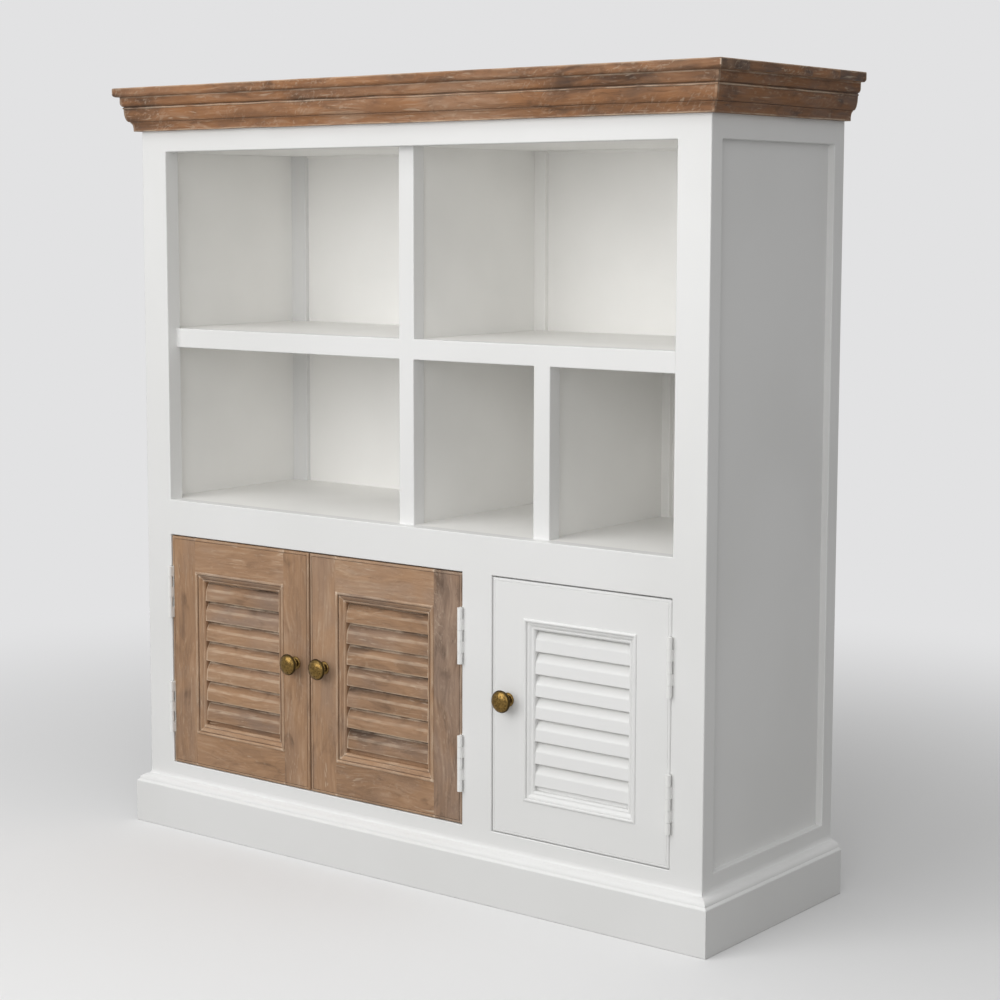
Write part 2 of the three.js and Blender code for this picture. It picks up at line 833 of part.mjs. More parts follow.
function addDoor(door) {
  addPiece(`${door.name}_frame`, door.finish, doorFrame(door));
  addPiece(`${door.name}_moulding`, door.finish, doorMoulding(door));
  addPiece(`${door.name}_louvres`, door.finish, doorLouvres(door));
  addPiece(`${door.name}_knob`, agedBrass, doorKnob(door));
  for (const [label, span] of Object.entries(door.hingeSpans)) {
    addHinge(door, label, span);
  }
}

addFrame();
addBack();
addBoards();
addShelfFront();
addDividers();
addCornice();
addTopBoard();
addPlinth();
addDoor(leftDoor);
addDoor(middleDoor);
addDoor(whiteDoor);

export default bookcase;
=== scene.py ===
"""Models and finishes a painted bookcase with an open upper part and three louvred cabinet doors.

Lengths are metres, +Z is up and the front faces -Y, as in the frame that it loads.
"""

import json
import math

import bmesh
import bpy
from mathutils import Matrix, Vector, geometry, noise

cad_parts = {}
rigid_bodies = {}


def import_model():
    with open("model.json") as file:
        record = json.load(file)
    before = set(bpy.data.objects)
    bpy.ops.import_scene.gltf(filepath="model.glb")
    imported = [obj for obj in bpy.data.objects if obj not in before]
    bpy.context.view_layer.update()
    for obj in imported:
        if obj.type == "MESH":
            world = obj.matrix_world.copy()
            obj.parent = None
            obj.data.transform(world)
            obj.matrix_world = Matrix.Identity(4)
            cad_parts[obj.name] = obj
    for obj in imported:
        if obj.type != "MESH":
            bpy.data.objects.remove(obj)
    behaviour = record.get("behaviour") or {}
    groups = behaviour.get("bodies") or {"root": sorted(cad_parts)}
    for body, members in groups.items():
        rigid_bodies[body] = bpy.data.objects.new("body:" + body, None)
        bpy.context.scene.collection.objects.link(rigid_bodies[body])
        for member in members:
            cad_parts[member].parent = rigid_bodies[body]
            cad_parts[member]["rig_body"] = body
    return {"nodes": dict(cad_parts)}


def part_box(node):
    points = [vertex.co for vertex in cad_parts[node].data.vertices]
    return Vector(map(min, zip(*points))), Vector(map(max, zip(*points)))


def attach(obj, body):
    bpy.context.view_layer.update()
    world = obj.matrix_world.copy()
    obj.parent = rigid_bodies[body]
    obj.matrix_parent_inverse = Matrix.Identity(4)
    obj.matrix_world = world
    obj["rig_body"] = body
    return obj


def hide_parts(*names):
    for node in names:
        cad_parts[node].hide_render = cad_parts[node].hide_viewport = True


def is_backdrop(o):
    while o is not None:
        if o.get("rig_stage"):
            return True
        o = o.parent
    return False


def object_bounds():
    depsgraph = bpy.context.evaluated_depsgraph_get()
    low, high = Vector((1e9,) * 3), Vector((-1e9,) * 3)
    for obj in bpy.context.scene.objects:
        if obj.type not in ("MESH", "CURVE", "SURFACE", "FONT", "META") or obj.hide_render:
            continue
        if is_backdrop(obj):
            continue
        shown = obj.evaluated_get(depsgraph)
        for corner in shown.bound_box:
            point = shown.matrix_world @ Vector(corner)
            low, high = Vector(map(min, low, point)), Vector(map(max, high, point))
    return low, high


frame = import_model()
frame_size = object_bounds()

bl_info = {
    "name": "Louvred Bookcase",
    "version": (1, 0, 0),
    "blender": (4, 5, 0),
    "location": "3D View > Sidebar > Bookcase",
    "description": "Models and finishes a painted bookcase with louvred cabinet doors",
    "category": "Object",
}

# The noise starts from the same place in every run
noise.seed_set(1)

# The doors, and the kind of finish that each has
DOORS = {"left_door": "door", "middle_door": "door", "white_door": "paint"}

# The outer faces of the carcass: half its width, its front and its back
HALF = -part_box("left_front_post")[0].x
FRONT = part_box("left_front_post")[0].y
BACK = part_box("left_rear_post")[1].y

# Points closer than this are one point
SAME = 1e-6


def picked(red, green, blue):
    """The linear colour for red, green and blue from 0 to 255, as a colour picker shows them."""

    def linear(level):
        # The standard curve of a screen: a straight foot, then a power
        share = level / 255
        return share / 12.92 if share <= 0.04045 else ((share + 0.055) / 1.055) ** 2.4

    return linear(red), linear(green), linear(blue)


def colour(name, description, default):
    return bpy.props.FloatVectorProperty(
        name=name, description=description, subtype="COLOR", size=3, min=0, max=1, default=picked(*default)
    )


def length(name, description, default):
    return bpy.props.FloatProperty(
        name=name, description=description, subtype="DISTANCE", unit="LENGTH", min=0, default=default
    )


def power(name, description, default):
    return bpy.props.FloatProperty(
        name=name, description=description, subtype="POWER", unit="POWER", min=0, default=default
    )


class BookcaseColours(bpy.types.PropertyGroup):
    """Colours of the finishes."""

    paint: colour("Paint", "White paint of the carcass and the white door", (231, 231, 230))
    # A brighter copy of the white paint, as painted light that makes up for the shade inside the cubbies
    inside_paint: colour("Inside Paint", "Paint of the shelves and the back", (249, 248, 245))
    # Besides clouding the paint, this shade paints the shadow on the slopes of the white slats
    paint_shade: colour("Paint Shade", "Slightly darker tone that clouds the paint", (214, 214, 211))
    hinge_paint: colour("Hinge Paint", "Paint on the hinges", (238, 238, 236))
    door_wood: colour("Door Wood", "Main tone of the wooden doors", (165, 130, 100))
    door_grey: colour("Door Grey", "Weathered patches of the wooden doors", (151, 128, 111))
    door_warm: colour("Door Warm", "Warm patches of the wooden doors", (170, 132, 98))
    cornice_wood: colour("Cornice Wood", "Main tone of the cornice and the top", (150, 108, 76))
    cornice_grey: colour("Cornice Grey", "Weathered patches of the cornice", (144, 115, 92))
    cornice_warm: colour("Cornice Warm", "Warm patches of the cornice", (160, 108, 64))
    # The dark also serves as painted shade: in the grooves with the dirt, on the tops of the slat slopes and
    # on the cornice's right side
    wood_dark: colour("Wood Dark", "Pores, knots and the dirt in the grooves", (62, 44, 32))
    # The wax also paints highlights: along the slat crests, the top's rounded edge and the pale stretch of
    # the cornice front
    wax: colour("Wax", "Pale wax left on the edges and in the scratches", (226, 206, 182))
    brass: colour("Brass", "Rubbed brass of the knobs", (130, 104, 58))
    # The patina also darkens the rim and the stem under each knob head as painted shade
    patina: colour("Patina", "Dark patina in the hollows of the knobs", (38, 32, 20))


class BookcaseSizes(bpy.types.PropertyGroup):
    """Sizes that the finished pieces add to the frame."""

    board_arris: length("Board Arris", "Rounding of the free edges of the boards", 0.0012)
    moulding_arris: length("Moulding Arris", "Rounding of the steps of the mouldings", 0.0006)
    plinth_arris: length("Plinth Arris", "Rounding of the edges of the plinth", 0.001)
    wear: length("Wear", "How far the wooden mouldings wander from straight", 0.00035)
    door_groove_inset: length("Door Groove Inset", "From a door's edge to the groove round its face", 0.0046)
    door_groove_width: length("Door Groove Width", "Width of the groove round a door's face", 0.0012)
    door_groove_depth: length("Door Groove Depth", "Depth of the groove round a door's face", 0.0008)
    slat_count: bpy.props.IntProperty(name="Slats", description="Louvre slats in each door", min=1, default=7)
    slat_shoulder: length("Slat Shoulder", "Rounding where a slat turns down", 0.003)
    slat_lip: length("Slat Lip", "Rounding of the lower edge of a slat", 0.0012)
    knob_relief: length("Knob Relief", "Depth of the hammered dents", 0.00016)
    knob_dent: length("Knob Dent", "Width of one hammered dent", 0.0042)
    screw_radius: length("Screw Radius", "Radius of the head of a hinge screw", 0.0028)


class BookcaseStage(bpy.types.PropertyGroup):
    """Camera, light and floor."""

    camera_place: bpy.props.FloatVectorProperty(
        name="Camera Place", description="Where the camera stands", subtype="TRANSLATION",
        unit="LENGTH", default=(2.1894, -2.7736, 1.0535),
    )
    camera_turn: bpy.props.FloatVectorProperty(
        name="Camera Turn", description="How the camera is turned", subtype="EULER", unit="ROTATION",
        default=(math.radians(90 - 6.384), 0.0, math.radians(38.702)),
    )
    focal_length: bpy.props.FloatProperty(
        name="Focal Length", description="Lens of the camera in millimetres on a 36 mm sensor",
        min=1, default=78.97,
    )
    shift: bpy.props.FloatVectorProperty(
        name="Shift", description="Shift of the lens", size=2, default=(0.05, -0.04)
    )
    floor: colour("Floor", "Colour of the floor", (232, 232, 232))
    floor_bounce: colour("Floor Bounce", "Colour that the floor throws on the bookcase", (150, 149, 147))
    background: colour("Background", "Colour behind the bookcase", (226, 226, 227))
    key_power: power("Key Light", "Power of the large lamp at the front", 55)
    fill_power: power("Fill Light", "Power of the lamp at the front right", 26)
    top_power: power("Top Light", "Power of the lamp overhead", 31)
    sky: bpy.props.FloatProperty(
        name="Sky", description="Strength of the light from all round", min=0, default=0.42
    )


# Node trees


class Wiring:
    """Adds nodes to one tree and links them."""

    def __init__(self, tree):
        self.tree = tree

    def link(self, source, target):
        """Links a socket to another, or writes a plain value into it."""
        if isinstance(source, bpy.types.NodeSocket):
            self.tree.links.new(source, target)
        else:
            target.default_value = source

    def add(self, kind, inputs=None, **settings):
        made = self.tree.nodes.new("ShaderNode" + kind)
        for key, value in settings.items():
            setattr(made, key, value)
        for key, value in (inputs or {}).items():
            self.link(value, made.inputs[key])
        return made

    def stretched(self, vector, amounts):
        return self.add("VectorMath", {0: vector, 1: amounts}, operation="MULTIPLY").outputs[0]

    def moved(self, vector, offset):
        return self.add("VectorMath", {0: vector, 1: offset}, operation="ADD").outputs[0]

    def clouds(self, vector, detail=2, distortion=0):
        inputs = {"Vector": vector, "Scale": 1, "Detail": detail, "Distortion": distortion}
        return self.add("TexNoise", inputs).outputs["Fac"]

    def calculate(self, operation, first, *others):
        for other in others or (0,):
            first = self.add("Math", {0: first, 1: other}, operation=operation).outputs[0]
        return first

    def times(self, *values):
        return self.calculate("MULTIPLY", *values)

    def plus(self, *values):
        return self.calculate("ADD", *values)

    def minus(self, *values):
        return self.calculate("SUBTRACT", *values)

    def most(self, *values):
        return self.calculate("MAXIMUM", *values)

    def spread(self, value, low, high, lowest=0, highest=1):
        """Stretches the part of a value between two levels over a new range, with soft ends."""
        inputs = {"Value": value, "From Min": low, "From Max": high, "To Min": lowest, "To Max": highest}
        return self.add("MapRange", inputs, interpolation_type="SMOOTHSTEP").outputs["Result"]

    def mixed(self, share, first, second):
        return self.add("Mix", {0: share, 6: first, 7: second}, data_type="RGBA").outputs[2]

    def attribute(self, name):
        return self.add("Attribute", attribute_type="GEOMETRY", attribute_name=name).outputs["Fac"]

    def nearness(self, reach, inside):
        """How near a point is to a groove, or to an edge when it looks inside the piece."""
        node = self.add("AmbientOcclusion", {"Distance": reach}, inside=inside, only_local=True, samples=12)
        return self.minus(1, node.outputs["AO"])

    def bump(self, shader, height, strength, depth):
        inputs = {"Height": height, "Strength": strength, "Distance": depth}
        self.link(self.add("Bump", inputs).outputs[0], shader.inputs["Normal"])

    def surface(self, kind, shader):
        """Ends the tree of a material or a world in a shader."""
        self.link(shader.outputs[0], self.add("Output" + kind).inputs["Surface"])

    def shown_rays(self):
        """1 for the rays that see a surface, straight or in a reflection, and 0 for those that light."""
        seen = self.add("LightPath").outputs
        return self.most(seen["Is Camera Ray"], seen["Is Glossy Ray"])


def fresh_wiring(owner):
    """Empties the node tree of a material or a world and starts it anew."""
    owner.use_nodes = True
    owner.node_tree.nodes.clear()
    return Wiring(owner.node_tree)


def solid_colour(value):
    return (*value, 1.0)


def opened_group(name, **inputs):
    """A new node group that puts out a colour, a roughness and a height, and its inner sockets."""
    tree = bpy.data.node_groups.new(name, "ShaderNodeTree")
    for kind, labels in inputs.items():
        for label in labels:
            tree.interface.new_socket(label, in_out="INPUT", socket_type="NodeSocket" + kind)
    for label, kind in (("Color", "Color"), ("Roughness", "Float"), ("Height", "Float")):
        tree.interface.new_socket(label, in_out="OUTPUT", socket_type="NodeSocket" + kind)
    return tree, tree.nodes.new("NodeGroupInput").outputs, tree.nodes.new("NodeGroupOutput").inputs


# The marks in the wood. For each: the position that it follows, how closely it repeats along and across
# the grain, where its noise starts, the detail and the distortion of the noise, and the two levels that
# it fades between, with its lowest and highest value where they aren't 0 and 1
WOOD_MARKS = {
    "broad": ("place", 8, 16, (0, 0, 0), (3, 0.8), (0.34, 0.66)),
    "strokes": ("swayed", 14, 46, (5, 1, 8), (4, 0.5), (0.36, 0.66)),
    "grain": ("swayed", 9, 240, (0, 0, 0), (4, 0), (0.34, 0.68)),
    "glow": ("place", 9, 19, (9, 4, 2), (3, 0.5), (0.42, 0.68)),
    "stain": ("place", 12, 30, (2, 7, 3), (4, 1.2), (0.5, 0.74)),
    "pores": ("swayed", 46, 700, (0, 0, 0), (2, 0), (0.6, 0.74)),
    "ring_place": ("place", 7, 12, (1, 3, 9), (2, 0), (0.5, 0.66)),
    "scratch": ("swayed", 24, 330, (3, 8, 5), (2, 0.3), (0.6, 0.72)),
    "scratch_place": ("place", 11, 26, (0, 0, 0), (2, 0), (0.46, 0.62)),
    "crack_place": ("place", 6, 9, (4, 9, 1), (2, 0), (0.54, 0.66)),
    "chisel": ("slanted", 34, 230, (6, 3, 4), (3, 0.6), (0.52, 0.72)),
    "chisel_place": ("place", 6, 14, (2, 9, 7), (2, 0), (0.44, 0.6)),
    "long_tone": ("place", 4.2, 7, (7, 5, 3), (2, 0), (0.36, 0.64, -0.5, 0.5)),
    "fleck": ("place", 70, 160, (0, 0, 0), (2, 0), (0.62, 0.72)),
    "wear": ("place", 26, 80, (0, 0, 0), (3, 0), (0.36, 0.6, 0.2, 1)),
    "groove_dirt_and_shade": ("place", 18, 50, (0, 0, 0), (2, 0), (0.3, 0.6, 0.55, 1)),
}


def weathered_wood():
    """Stained, brushed and waxed wood whose grain runs along X of its position.

    Tone makes a piece lighter or darker, and Greyness more or less weathered, both from 0 to 1. On the slats
    and the cornice the tone also carries painted shade and a painted highlight.
    """
    name = "Weathered Wood"
    if name in bpy.data.node_groups:
        return bpy.data.node_groups[name]
    tree, given, result = opened_group(
        name,
        Vector=("Position",),
        Float=("Shift", "Tone", "Greyness", "Edge", "Groove", "Wax Amount", "Figure", "Variety"),
        Color=("Wood", "Grey", "Warm", "Dark", "Wax"),
    )
    do = Wiring(tree)
    shifts = {axis: do.times(given["Shift"], share) for axis, share in (("X", 3.7), ("Y", 1.9), ("Z", 2.3))}
    place = do.moved(given["Position"], do.add("CombineXYZ", shifts).outputs[0])
    sway = do.add("TexNoise", {"Vector": do.stretched(place, (5, 11, 11)), "Scale": 1, "Detail": 2})
    runs = {
        "place": place,
        "swayed": do.moved(place, do.stretched(sway.outputs["Color"], (0, 0.045, 0.045))),
        "slanted": do.add("Mapping", {"Vector": place, "Rotation": (0, 0.55, 0.55)}).outputs[0],
    }
    marks = {}
    for label, (run, along, across, start, texture, levels) in WOOD_MARKS.items():
        vector = do.moved(do.stretched(runs[run], (along, across, across)), start)
        marks[label] = do.spread(do.clouds(vector, *texture), *levels)
    rings = do.times(do.clouds(do.stretched(runs["swayed"], (3, 15, 15)), 1.5, 0.4), 15)
    rings = do.times(do.spread(do.calculate("PINGPONG", rings, 0.5), 0.1, 0), marks["ring_place"])
    cracks = do.clouds(do.moved(do.stretched(runs["swayed"], (12, 75, 75)), (8, 2, 6)), 1, 0.7)
    cracks = do.spread(do.calculate("ABSOLUTE", do.minus(cracks, 0.5)), 0.012, 0.002)
    cracks = do.times(cracks, marks["crack_place"])
    scratches = do.times(marks["scratch"], marks["scratch_place"])
    chisel = do.times(marks["chisel"], marks["chisel_place"], given["Figure"])
    tone = do.plus(given["Tone"], do.times(marks["long_tone"], given["Variety"]))

    # Weathering and warm patches
    grey_share = do.plus(do.times(marks["broad"], 0.55), do.times(do.minus(given["Greyness"], 0.5), 1.2))
    shown = do.mixed(do.spread(grey_share, 0, 0.9, 0, 0.9), given["Wood"], given["Grey"])
    warm_share = do.times(marks["glow"], do.minus(1, given["Greyness"]), 0.8)
    shown = do.mixed(warm_share, shown, given["Warm"])

    # Dark and pale strokes, and the piece's own tone
    darker = do.plus(
        do.times(do.minus(1, marks["strokes"]), do.spread(given["Figure"], 0, 1, 0.1, 0.3)),
        do.times(marks["stain"], given["Variety"]),
        do.times(do.minus(1, marks["grain"]), 0.13),
        do.minus(0.42, do.times(tone, 0.84)),
    )
    shown = do.mixed(do.spread(darker, 0, 1), shown, given["Dark"])
    lighter = do.plus(do.times(marks["strokes"], marks["grain"], 0.24), do.times(do.minus(tone, 0.5), 0.5))
    shown = do.mixed(do.spread(lighter, 0, 1), shown, given["Wax"])

    # Fine dark lines, wax in the scratches, worn edges with the painted highlight on the crests, and dirt
    # with painted shade in the grooves
    lines = do.most(do.times(rings, 0.3), do.times(marks["pores"], 0.24), do.times(cracks, 0.3))
    shown = do.mixed(do.times(lines, given["Figure"]), shown, given["Dark"])
    waxed = do.times(given["Wax Amount"], do.most(do.times(scratches, 0.6), do.times(marks["fleck"], 0.2)))
    shown = do.mixed(do.most(waxed, do.times(chisel, 0.3)), shown, given["Wax"])
    # Worn edges, together with the painted highlight of the crests that comes in through Edge
    pale_edge = do.times(given["Edge"], marks["wear"])
    shown = do.mixed(do.times(pale_edge, 0.6), shown, given["Wax"])
    dirt_and_shade = do.times(given["Groove"], marks["groove_dirt_and_shade"])
    do.link(do.mixed(do.times(dirt_and_shade, 0.85), shown, given["Dark"]), result["Color"])

    rough = do.spread(marks["strokes"], 0, 1, 0.6, 0.76)
    do.link(do.minus(rough, do.times(pale_edge, 0.14)), result["Roughness"])
    dips = do.plus(do.times(marks["pores"], 0.4), do.times(cracks, 0.7), do.times(scratches, 0.4))
    height = do.minus(do.times(marks["grain"], 0.3), dips)
    height = do.plus(height, do.times(marks["strokes"], 0.9), chisel, do.times(marks["glow"], 0.9))
    do.link(height, result["Height"])
    return tree


def brushed_paint():
    """Satin paint, softly clouded, darkened by painted shadow where Shading asks, with faint brush marks that
    run along X of its stroke position.
    """
    name = "Brushed Paint"
    if name in bpy.data.node_groups:
        return bpy.data.node_groups[name]
    tree, given, result = opened_group(
        name, Vector=("Position", "Stroke Position"), Color=("Paint", "Shade"), Float=("Shading",)
    )
    do = Wiring(tree)
    marks = do.clouds(do.stretched(given["Stroke Position"], (7, 260, 260)))
    ripple = do.clouds(do.stretched(given["Stroke Position"], (3, 18, 18)))
    cloud = do.spread(do.clouds(do.stretched(given["Position"], (3.4, 3.4, 3.4)), 3), 0.35, 0.7)
    # Random clouds, and painted shadow from the Shading input
    shaded = do.most(do.times(cloud, 0.22), given["Shading"])
    do.link(do.mixed(shaded, given["Paint"], given["Shade"]), result["Color"])
    do.link(do.spread(cloud, 0, 1, 0.42, 0.5), result["Roughness"])
    do.link(do.plus(do.times(marks, 0.2), do.times(ripple, 0.8)), result["Height"])
    return tree


# How a pattern is turned so that its X runs along an axis of the bookcase
TURNS = {
    "x": (0, 0, 0),
    "y": (0, 0, -math.pi / 2),
    "z": (0, math.pi / 2, 0),
}


def started_material(name, along):
    """A material with its wiring and shader, and its position turned so that X runs along an axis."""
    material = bpy.data.materials.new(name)
    do = fresh_wiring(material)
    shader = do.add("BsdfPrincipled")
    do.surface("Material", shader)
    place = do.add("TexCoord").outputs["Object"]
    turned = do.add("Mapping", {"Vector": place, "Rotation": TURNS[along]}).outputs[0]
    return material, do, shader, place, turned


def grouped_finish(do, shader, group, inputs, strength, depth):
    """Feeds a node group and passes its colour, roughness and height to the shader."""
    outputs = do.add("Group", inputs, node_tree=group).outputs
    do.link(outputs["Color"], shader.inputs["Base Color"])
    do.link(outputs["Roughness"], shader.inputs["Roughness"])
    do.bump(shader, outputs["Height"], strength, depth)


# For each wood: how near a groove has to be to look wholly dark with dirt and painted shade, and its wax,
# figure and variety
WOODS = {
    "door": (0.54, 0.5, 0.25, 0.26),
    "cornice": (0.46, 0.6, 1, 0.28),
}

# How far edge wear reaches, and the dirt and painted shade beside a groove
WEAR_REACH = 0.0034
DIRT_AND_SHADE_REACH = 0.012


def wood_finish(kind, along):
    """Material of the doors or of the cornice, with its grain along an axis."""
    name = f"{kind} wood {along}"
    if name in bpy.data.materials:
        return bpy.data.materials[name]
    colours = bpy.context.scene.bookcase_colours
    dirt_and_shade_end, wax, figure, variety = WOODS[kind]
    material, do, shader, _, turned = started_material(name, along)
    pale_edge = do.times(do.spread(do.nearness(WEAR_REACH, True), 0.06, 0.36), do.attribute("wear"))
    inputs = {
        "Position": turned,
        "Shift": do.attribute("shift"),
        "Tone": do.attribute("tone"),
        "Greyness": do.attribute("greyness"),
        "Wood": solid_colour(getattr(colours, f"{kind}_wood")),
        "Grey": solid_colour(getattr(colours, f"{kind}_grey")),
        "Warm": solid_colour(getattr(colours, f"{kind}_warm")),
        "Dark": solid_colour(colours.wood_dark),
        "Wax": solid_colour(colours.wax),
        "Edge": do.most(pale_edge, do.attribute("crest")),
        # Darker near grooves, as dirt and painted shade
        "Groove": do.spread(do.nearness(DIRT_AND_SHADE_REACH, False), 0.1, dirt_and_shade_end),
        "Wax Amount": wax,
        "Figure": do.plus(figure, do.attribute("figure")),
        "Variety": variety,
    }
    grouped_finish(do, shader, weathered_wood(), inputs, 0.7, 0.0008)
    shader.inputs["Specular IOR Level"].default_value = 0.35
    return material


def paint_finish(kind, along):
    """Painted material of a kind named in the colours, with its brush marks along an axis."""
    name = f"{kind} {along}"
    if name in bpy.data.materials:
        return bpy.data.materials[name]
    colours = bpy.context.scene.bookcase_colours
    material, do, shader, place, turned = started_material(name, along)
    inputs = {
        "Position": place,
        "Stroke Position": turned,
        "Paint": solid_colour(getattr(colours, kind)),
        "Shade": solid_colour(colours.paint_shade),
        "Shading": do.attribute("shade"),
    }
    grouped_finish(do, shader, brushed_paint(), inputs, 0.3, 0.0003)
    return material


def brass_finish():
    """Hammered brass, rubbed bright on its ridges and dark in its hollows."""
    name = "aged brass"
    if name in bpy.data.materials:
        return bpy.data.materials[name]
    colours = bpy.context.scene.bookcase_colours
    material, do, shader, place, _ = started_material(name, "x")
    hollow = do.spread(do.attribute("hollow"), 0.15, 0.8)
    groove = do.spread(do.nearness(0.005, False), 0.2, 0.8)
    spots = do.spread(do.clouds(do.stretched(place, (260, 260, 260))), 0.42, 0.66)
    # The rim and the stem under the head take patina and painted shade
    rim = do.spread(do.attribute("rim"), 0.2, 1)
    dark = do.most(do.times(hollow, 0.55), groove, do.times(spots, 0.4), do.times(rim, 0.85))
    shown = do.mixed(dark, solid_colour(colours.brass), solid_colour(colours.patina))
    do.link(shown, shader.inputs["Base Color"])
    do.link(do.spread(dark, 0, 1, 0.2, 0.46), shader.inputs["Roughness"])
    do.link(do.spread(groove, 0, 1, 1, 0.8), shader.inputs["Metallic"])
    do.bump(shader, do.clouds(do.stretched(place, (900, 900, 900))), 0.6, 0.0003)
    return material


def finish_of(kind, along):
    """The material of a kind of finish, and a name for its material slot."""
    if kind in WOODS:
        return wood_finish(kind, along), f"{kind}_wood"
    if kind == "brass":
        return brass_finish(), "aged_brass"
    return paint_finish(kind, along), "white_paint" if kind == "paint" else kind


# Mesh work


def ramp(value, start, end):
    """How far a value has come from a start to an end, from 0 to 1."""
    return min(max((value - start) / (end - start), 0), 1)


def along_axis(axis, amount=1):
    vector = Vector((0, 0, 0))
    vector[axis] = amount
    return vector


def whole_copy(node):
    """A copy of a frame node with its loose triangles joined into whole faces."""
    form = bmesh.new()
    form.from_mesh(frame["nodes"][node].data)
    bmesh.ops.remove_doubles(form, verts=form.verts, dist=SAME)
    bmesh.ops.dissolve_limit(
        form, angle_limit=math.radians(0.5), verts=form.verts, edges=form.edges, use_dissolve_boundaries=False
    )
    for face in form.faces:
        face.smooth = False
    return form


def block(low, high):
    """A closed box between two corners."""
    form = bmesh.new()
    bmesh.ops.create_cube(form, size=1)
    low, high = Vector(low), Vector(high)
    bmesh.ops.scale(form, vec=high - low, verts=form.verts)
    bmesh.ops.translate(form, vec=(low + high) / 2, verts=form.verts)
    return form


def arc(centre, radii, start, end, steps):
    """Points on part of an ellipse between two angles in quarter turns."""
    points = []
    for step in range(steps + 1):
        angle = math.radians(90 * (start + (end - start) * step / steps))
        points.append((centre[0] + radii[0] * math.cos(angle), centre[1] + radii[1] * math.sin(angle)))
    return points


def smooth_curve(points, steps):
    """Points on a smooth curve through the given ones, several to each stretch."""
    corners = [Vector((first, second, 0)) for first, second in points]
    curve = [corners[0]]
    for index in range(len(corners) - 1):
        before = corners[max(index - 1, 0)]
        start, end = corners[index], corners[index + 1]
        after = corners[min(index + 2, len(corners) - 1)]
        stretch = geometry.interpolate_bezier(
            start, start + (end - before) / 6, end - (after - start) / 6, end, steps + 1
        )
        curve.extend(stretch[1:])
    return [(point.x, point.y) for point in curve]


def push_out(form, faces, way):
    """Extrudes faces and moves the new ones a way off."""
    grown = bmesh.ops.extrude_face_region(form, geom=faces)["geom"]
    verts = [part for part in grown if isinstance(part, bmesh.types.BMVert)]
    bmesh.ops.translate(form, vec=way, verts=verts)


def length_of(outline, start, end, place):
    """Draws an outline at one end with place(first, second, along) and extrudes it to the other."""
    form = bmesh.new()
    face = form.faces.new([form.verts.new(place(first, second, start)) for first, second in outline])
    push_out(form, [face], Vector(place(0, 0, end)) - Vector(place(0, 0, start)))
    bmesh.ops.recalc_face_normals(form, faces=form.faces)
    return form


def split(form, point, normal, keep_inner=False):
    """Cuts a form by a plane, and with keep_inner takes away what the normal points to."""
    bmesh.ops.bisect_plane(
        form, geom=[*form.verts, *form.edges, *form.faces], dist=SAME, plane_co=point, plane_no=normal,
        clear_outer=keep_inner,
    )
    if keep_inner:
        bmesh.ops.holes_fill(form, edges=[edge for edge in form.edges if edge.is_boundary], sides=0)


def sharp_edges(form, least):
    """The outward edges whose faces turn by more than some degrees."""
    limit = math.radians(least)
    return [
        edge for edge in form.edges
        if edge.is_manifold and edge.calc_face_angle() > limit and edge.is_convex
    ]


def runs_along(edge, axis):
    return abs((edge.verts[0].co - edge.verts[1].co).normalized()[axis]) > 0.99


def round_edges(form, edges, width, segments=2):
    """Rounds edges, smooth along the rounding and crisp where it meets the flats."""
    if not edges:
        return []
    faces = bmesh.ops.bevel(
        form, geom=edges, offset=width, offset_type="OFFSET", affect="EDGES", segments=segments,
        profile=0.5, material=-1, clamp_overlap=False,
    )["faces"]
    strip = set(faces)
    for face in faces:
        face.smooth = True
        for edge in face.edges:
            if any(other not in strip for other in edge.link_faces):
                edge.smooth = False
    return faces


def shade_by_angle(form, limit):
    """Shades a form smooth, apart from the edges whose faces turn by more than some degrees."""
    for face in form.faces:
        face.smooth = True
    for edge in form.edges:
        edge.smooth = edge.is_manifold and edge.calc_face_angle() < math.radians(limit)


def wander(form, axis, spacing, amount, free, seed):
    """Lets a straight wooden length wander slightly where free(point) is above nothing."""
    quick, slow = 22, 14
    low = min(vert.co[axis] for vert in form.verts)
    high = max(vert.co[axis] for vert in form.verts)
    for step in range(1, int((high - low) / spacing)):
        split(form, along_axis(axis, low + step * spacing), along_axis(axis))
    for vert in form.verts:
        share = free(vert.co)
        if share > 0:
            sample = vert.co * quick + Vector((seed, 0, seed))
            sample[axis] = vert.co[axis] * slow + seed
            push = noise.noise_vector(sample) * amount * share
            push[axis] = 0
            vert.co += push


def mark(parts, **values):
    """Writes one number for each name on every vertex or face, where a value may be a function of it."""
    for key, value in values.items():
        layer = parts.layers.float.new(key)
        for part in parts:
            part[layer] = value(part) if callable(value) else value


def make_piece(form, name, body, kind, along, *nodes):
    """Turns a form into a finished piece that rides on a body and stands for frame nodes."""
    mesh = bpy.data.meshes.new(name)
    if form.calc_volume(signed=True) < 0:
        bmesh.ops.reverse_faces(form, faces=form.faces)
    form.to_mesh(mesh)
    form.free()
    if not mesh.polygons:
        raise RuntimeError(f"{name} has no faces")
    finish, slot = finish_of(kind, along)
    mesh.materials.append(finish)
    piece = bpy.data.objects.new(name, mesh)
    bpy.context.scene.collection.objects.link(piece)
    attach(piece, body)
    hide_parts(*nodes)
    return piece


def body_of(node):
    return frame["nodes"][node]["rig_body"]


def touching_boxes(node):
    """Boxes of the nodes of the same body that touch a node, with some room round hinge leaves."""
    low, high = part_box(node)
    found = []
    for other in frame["nodes"]:
        if other == node or body_of(other) != body_of(node):
            continue
        reach = 0.003 if "hinge" in other else 0.0003
        other_low, other_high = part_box(other)
        other_low = other_low - Vector((reach,) * 3)
        other_high = other_high + Vector((reach,) * 3)
        if all(other_low[axis] <= high[axis] and other_high[axis] >= low[axis] for axis in range(3)):
            found.append((other_low, other_high))
    return found


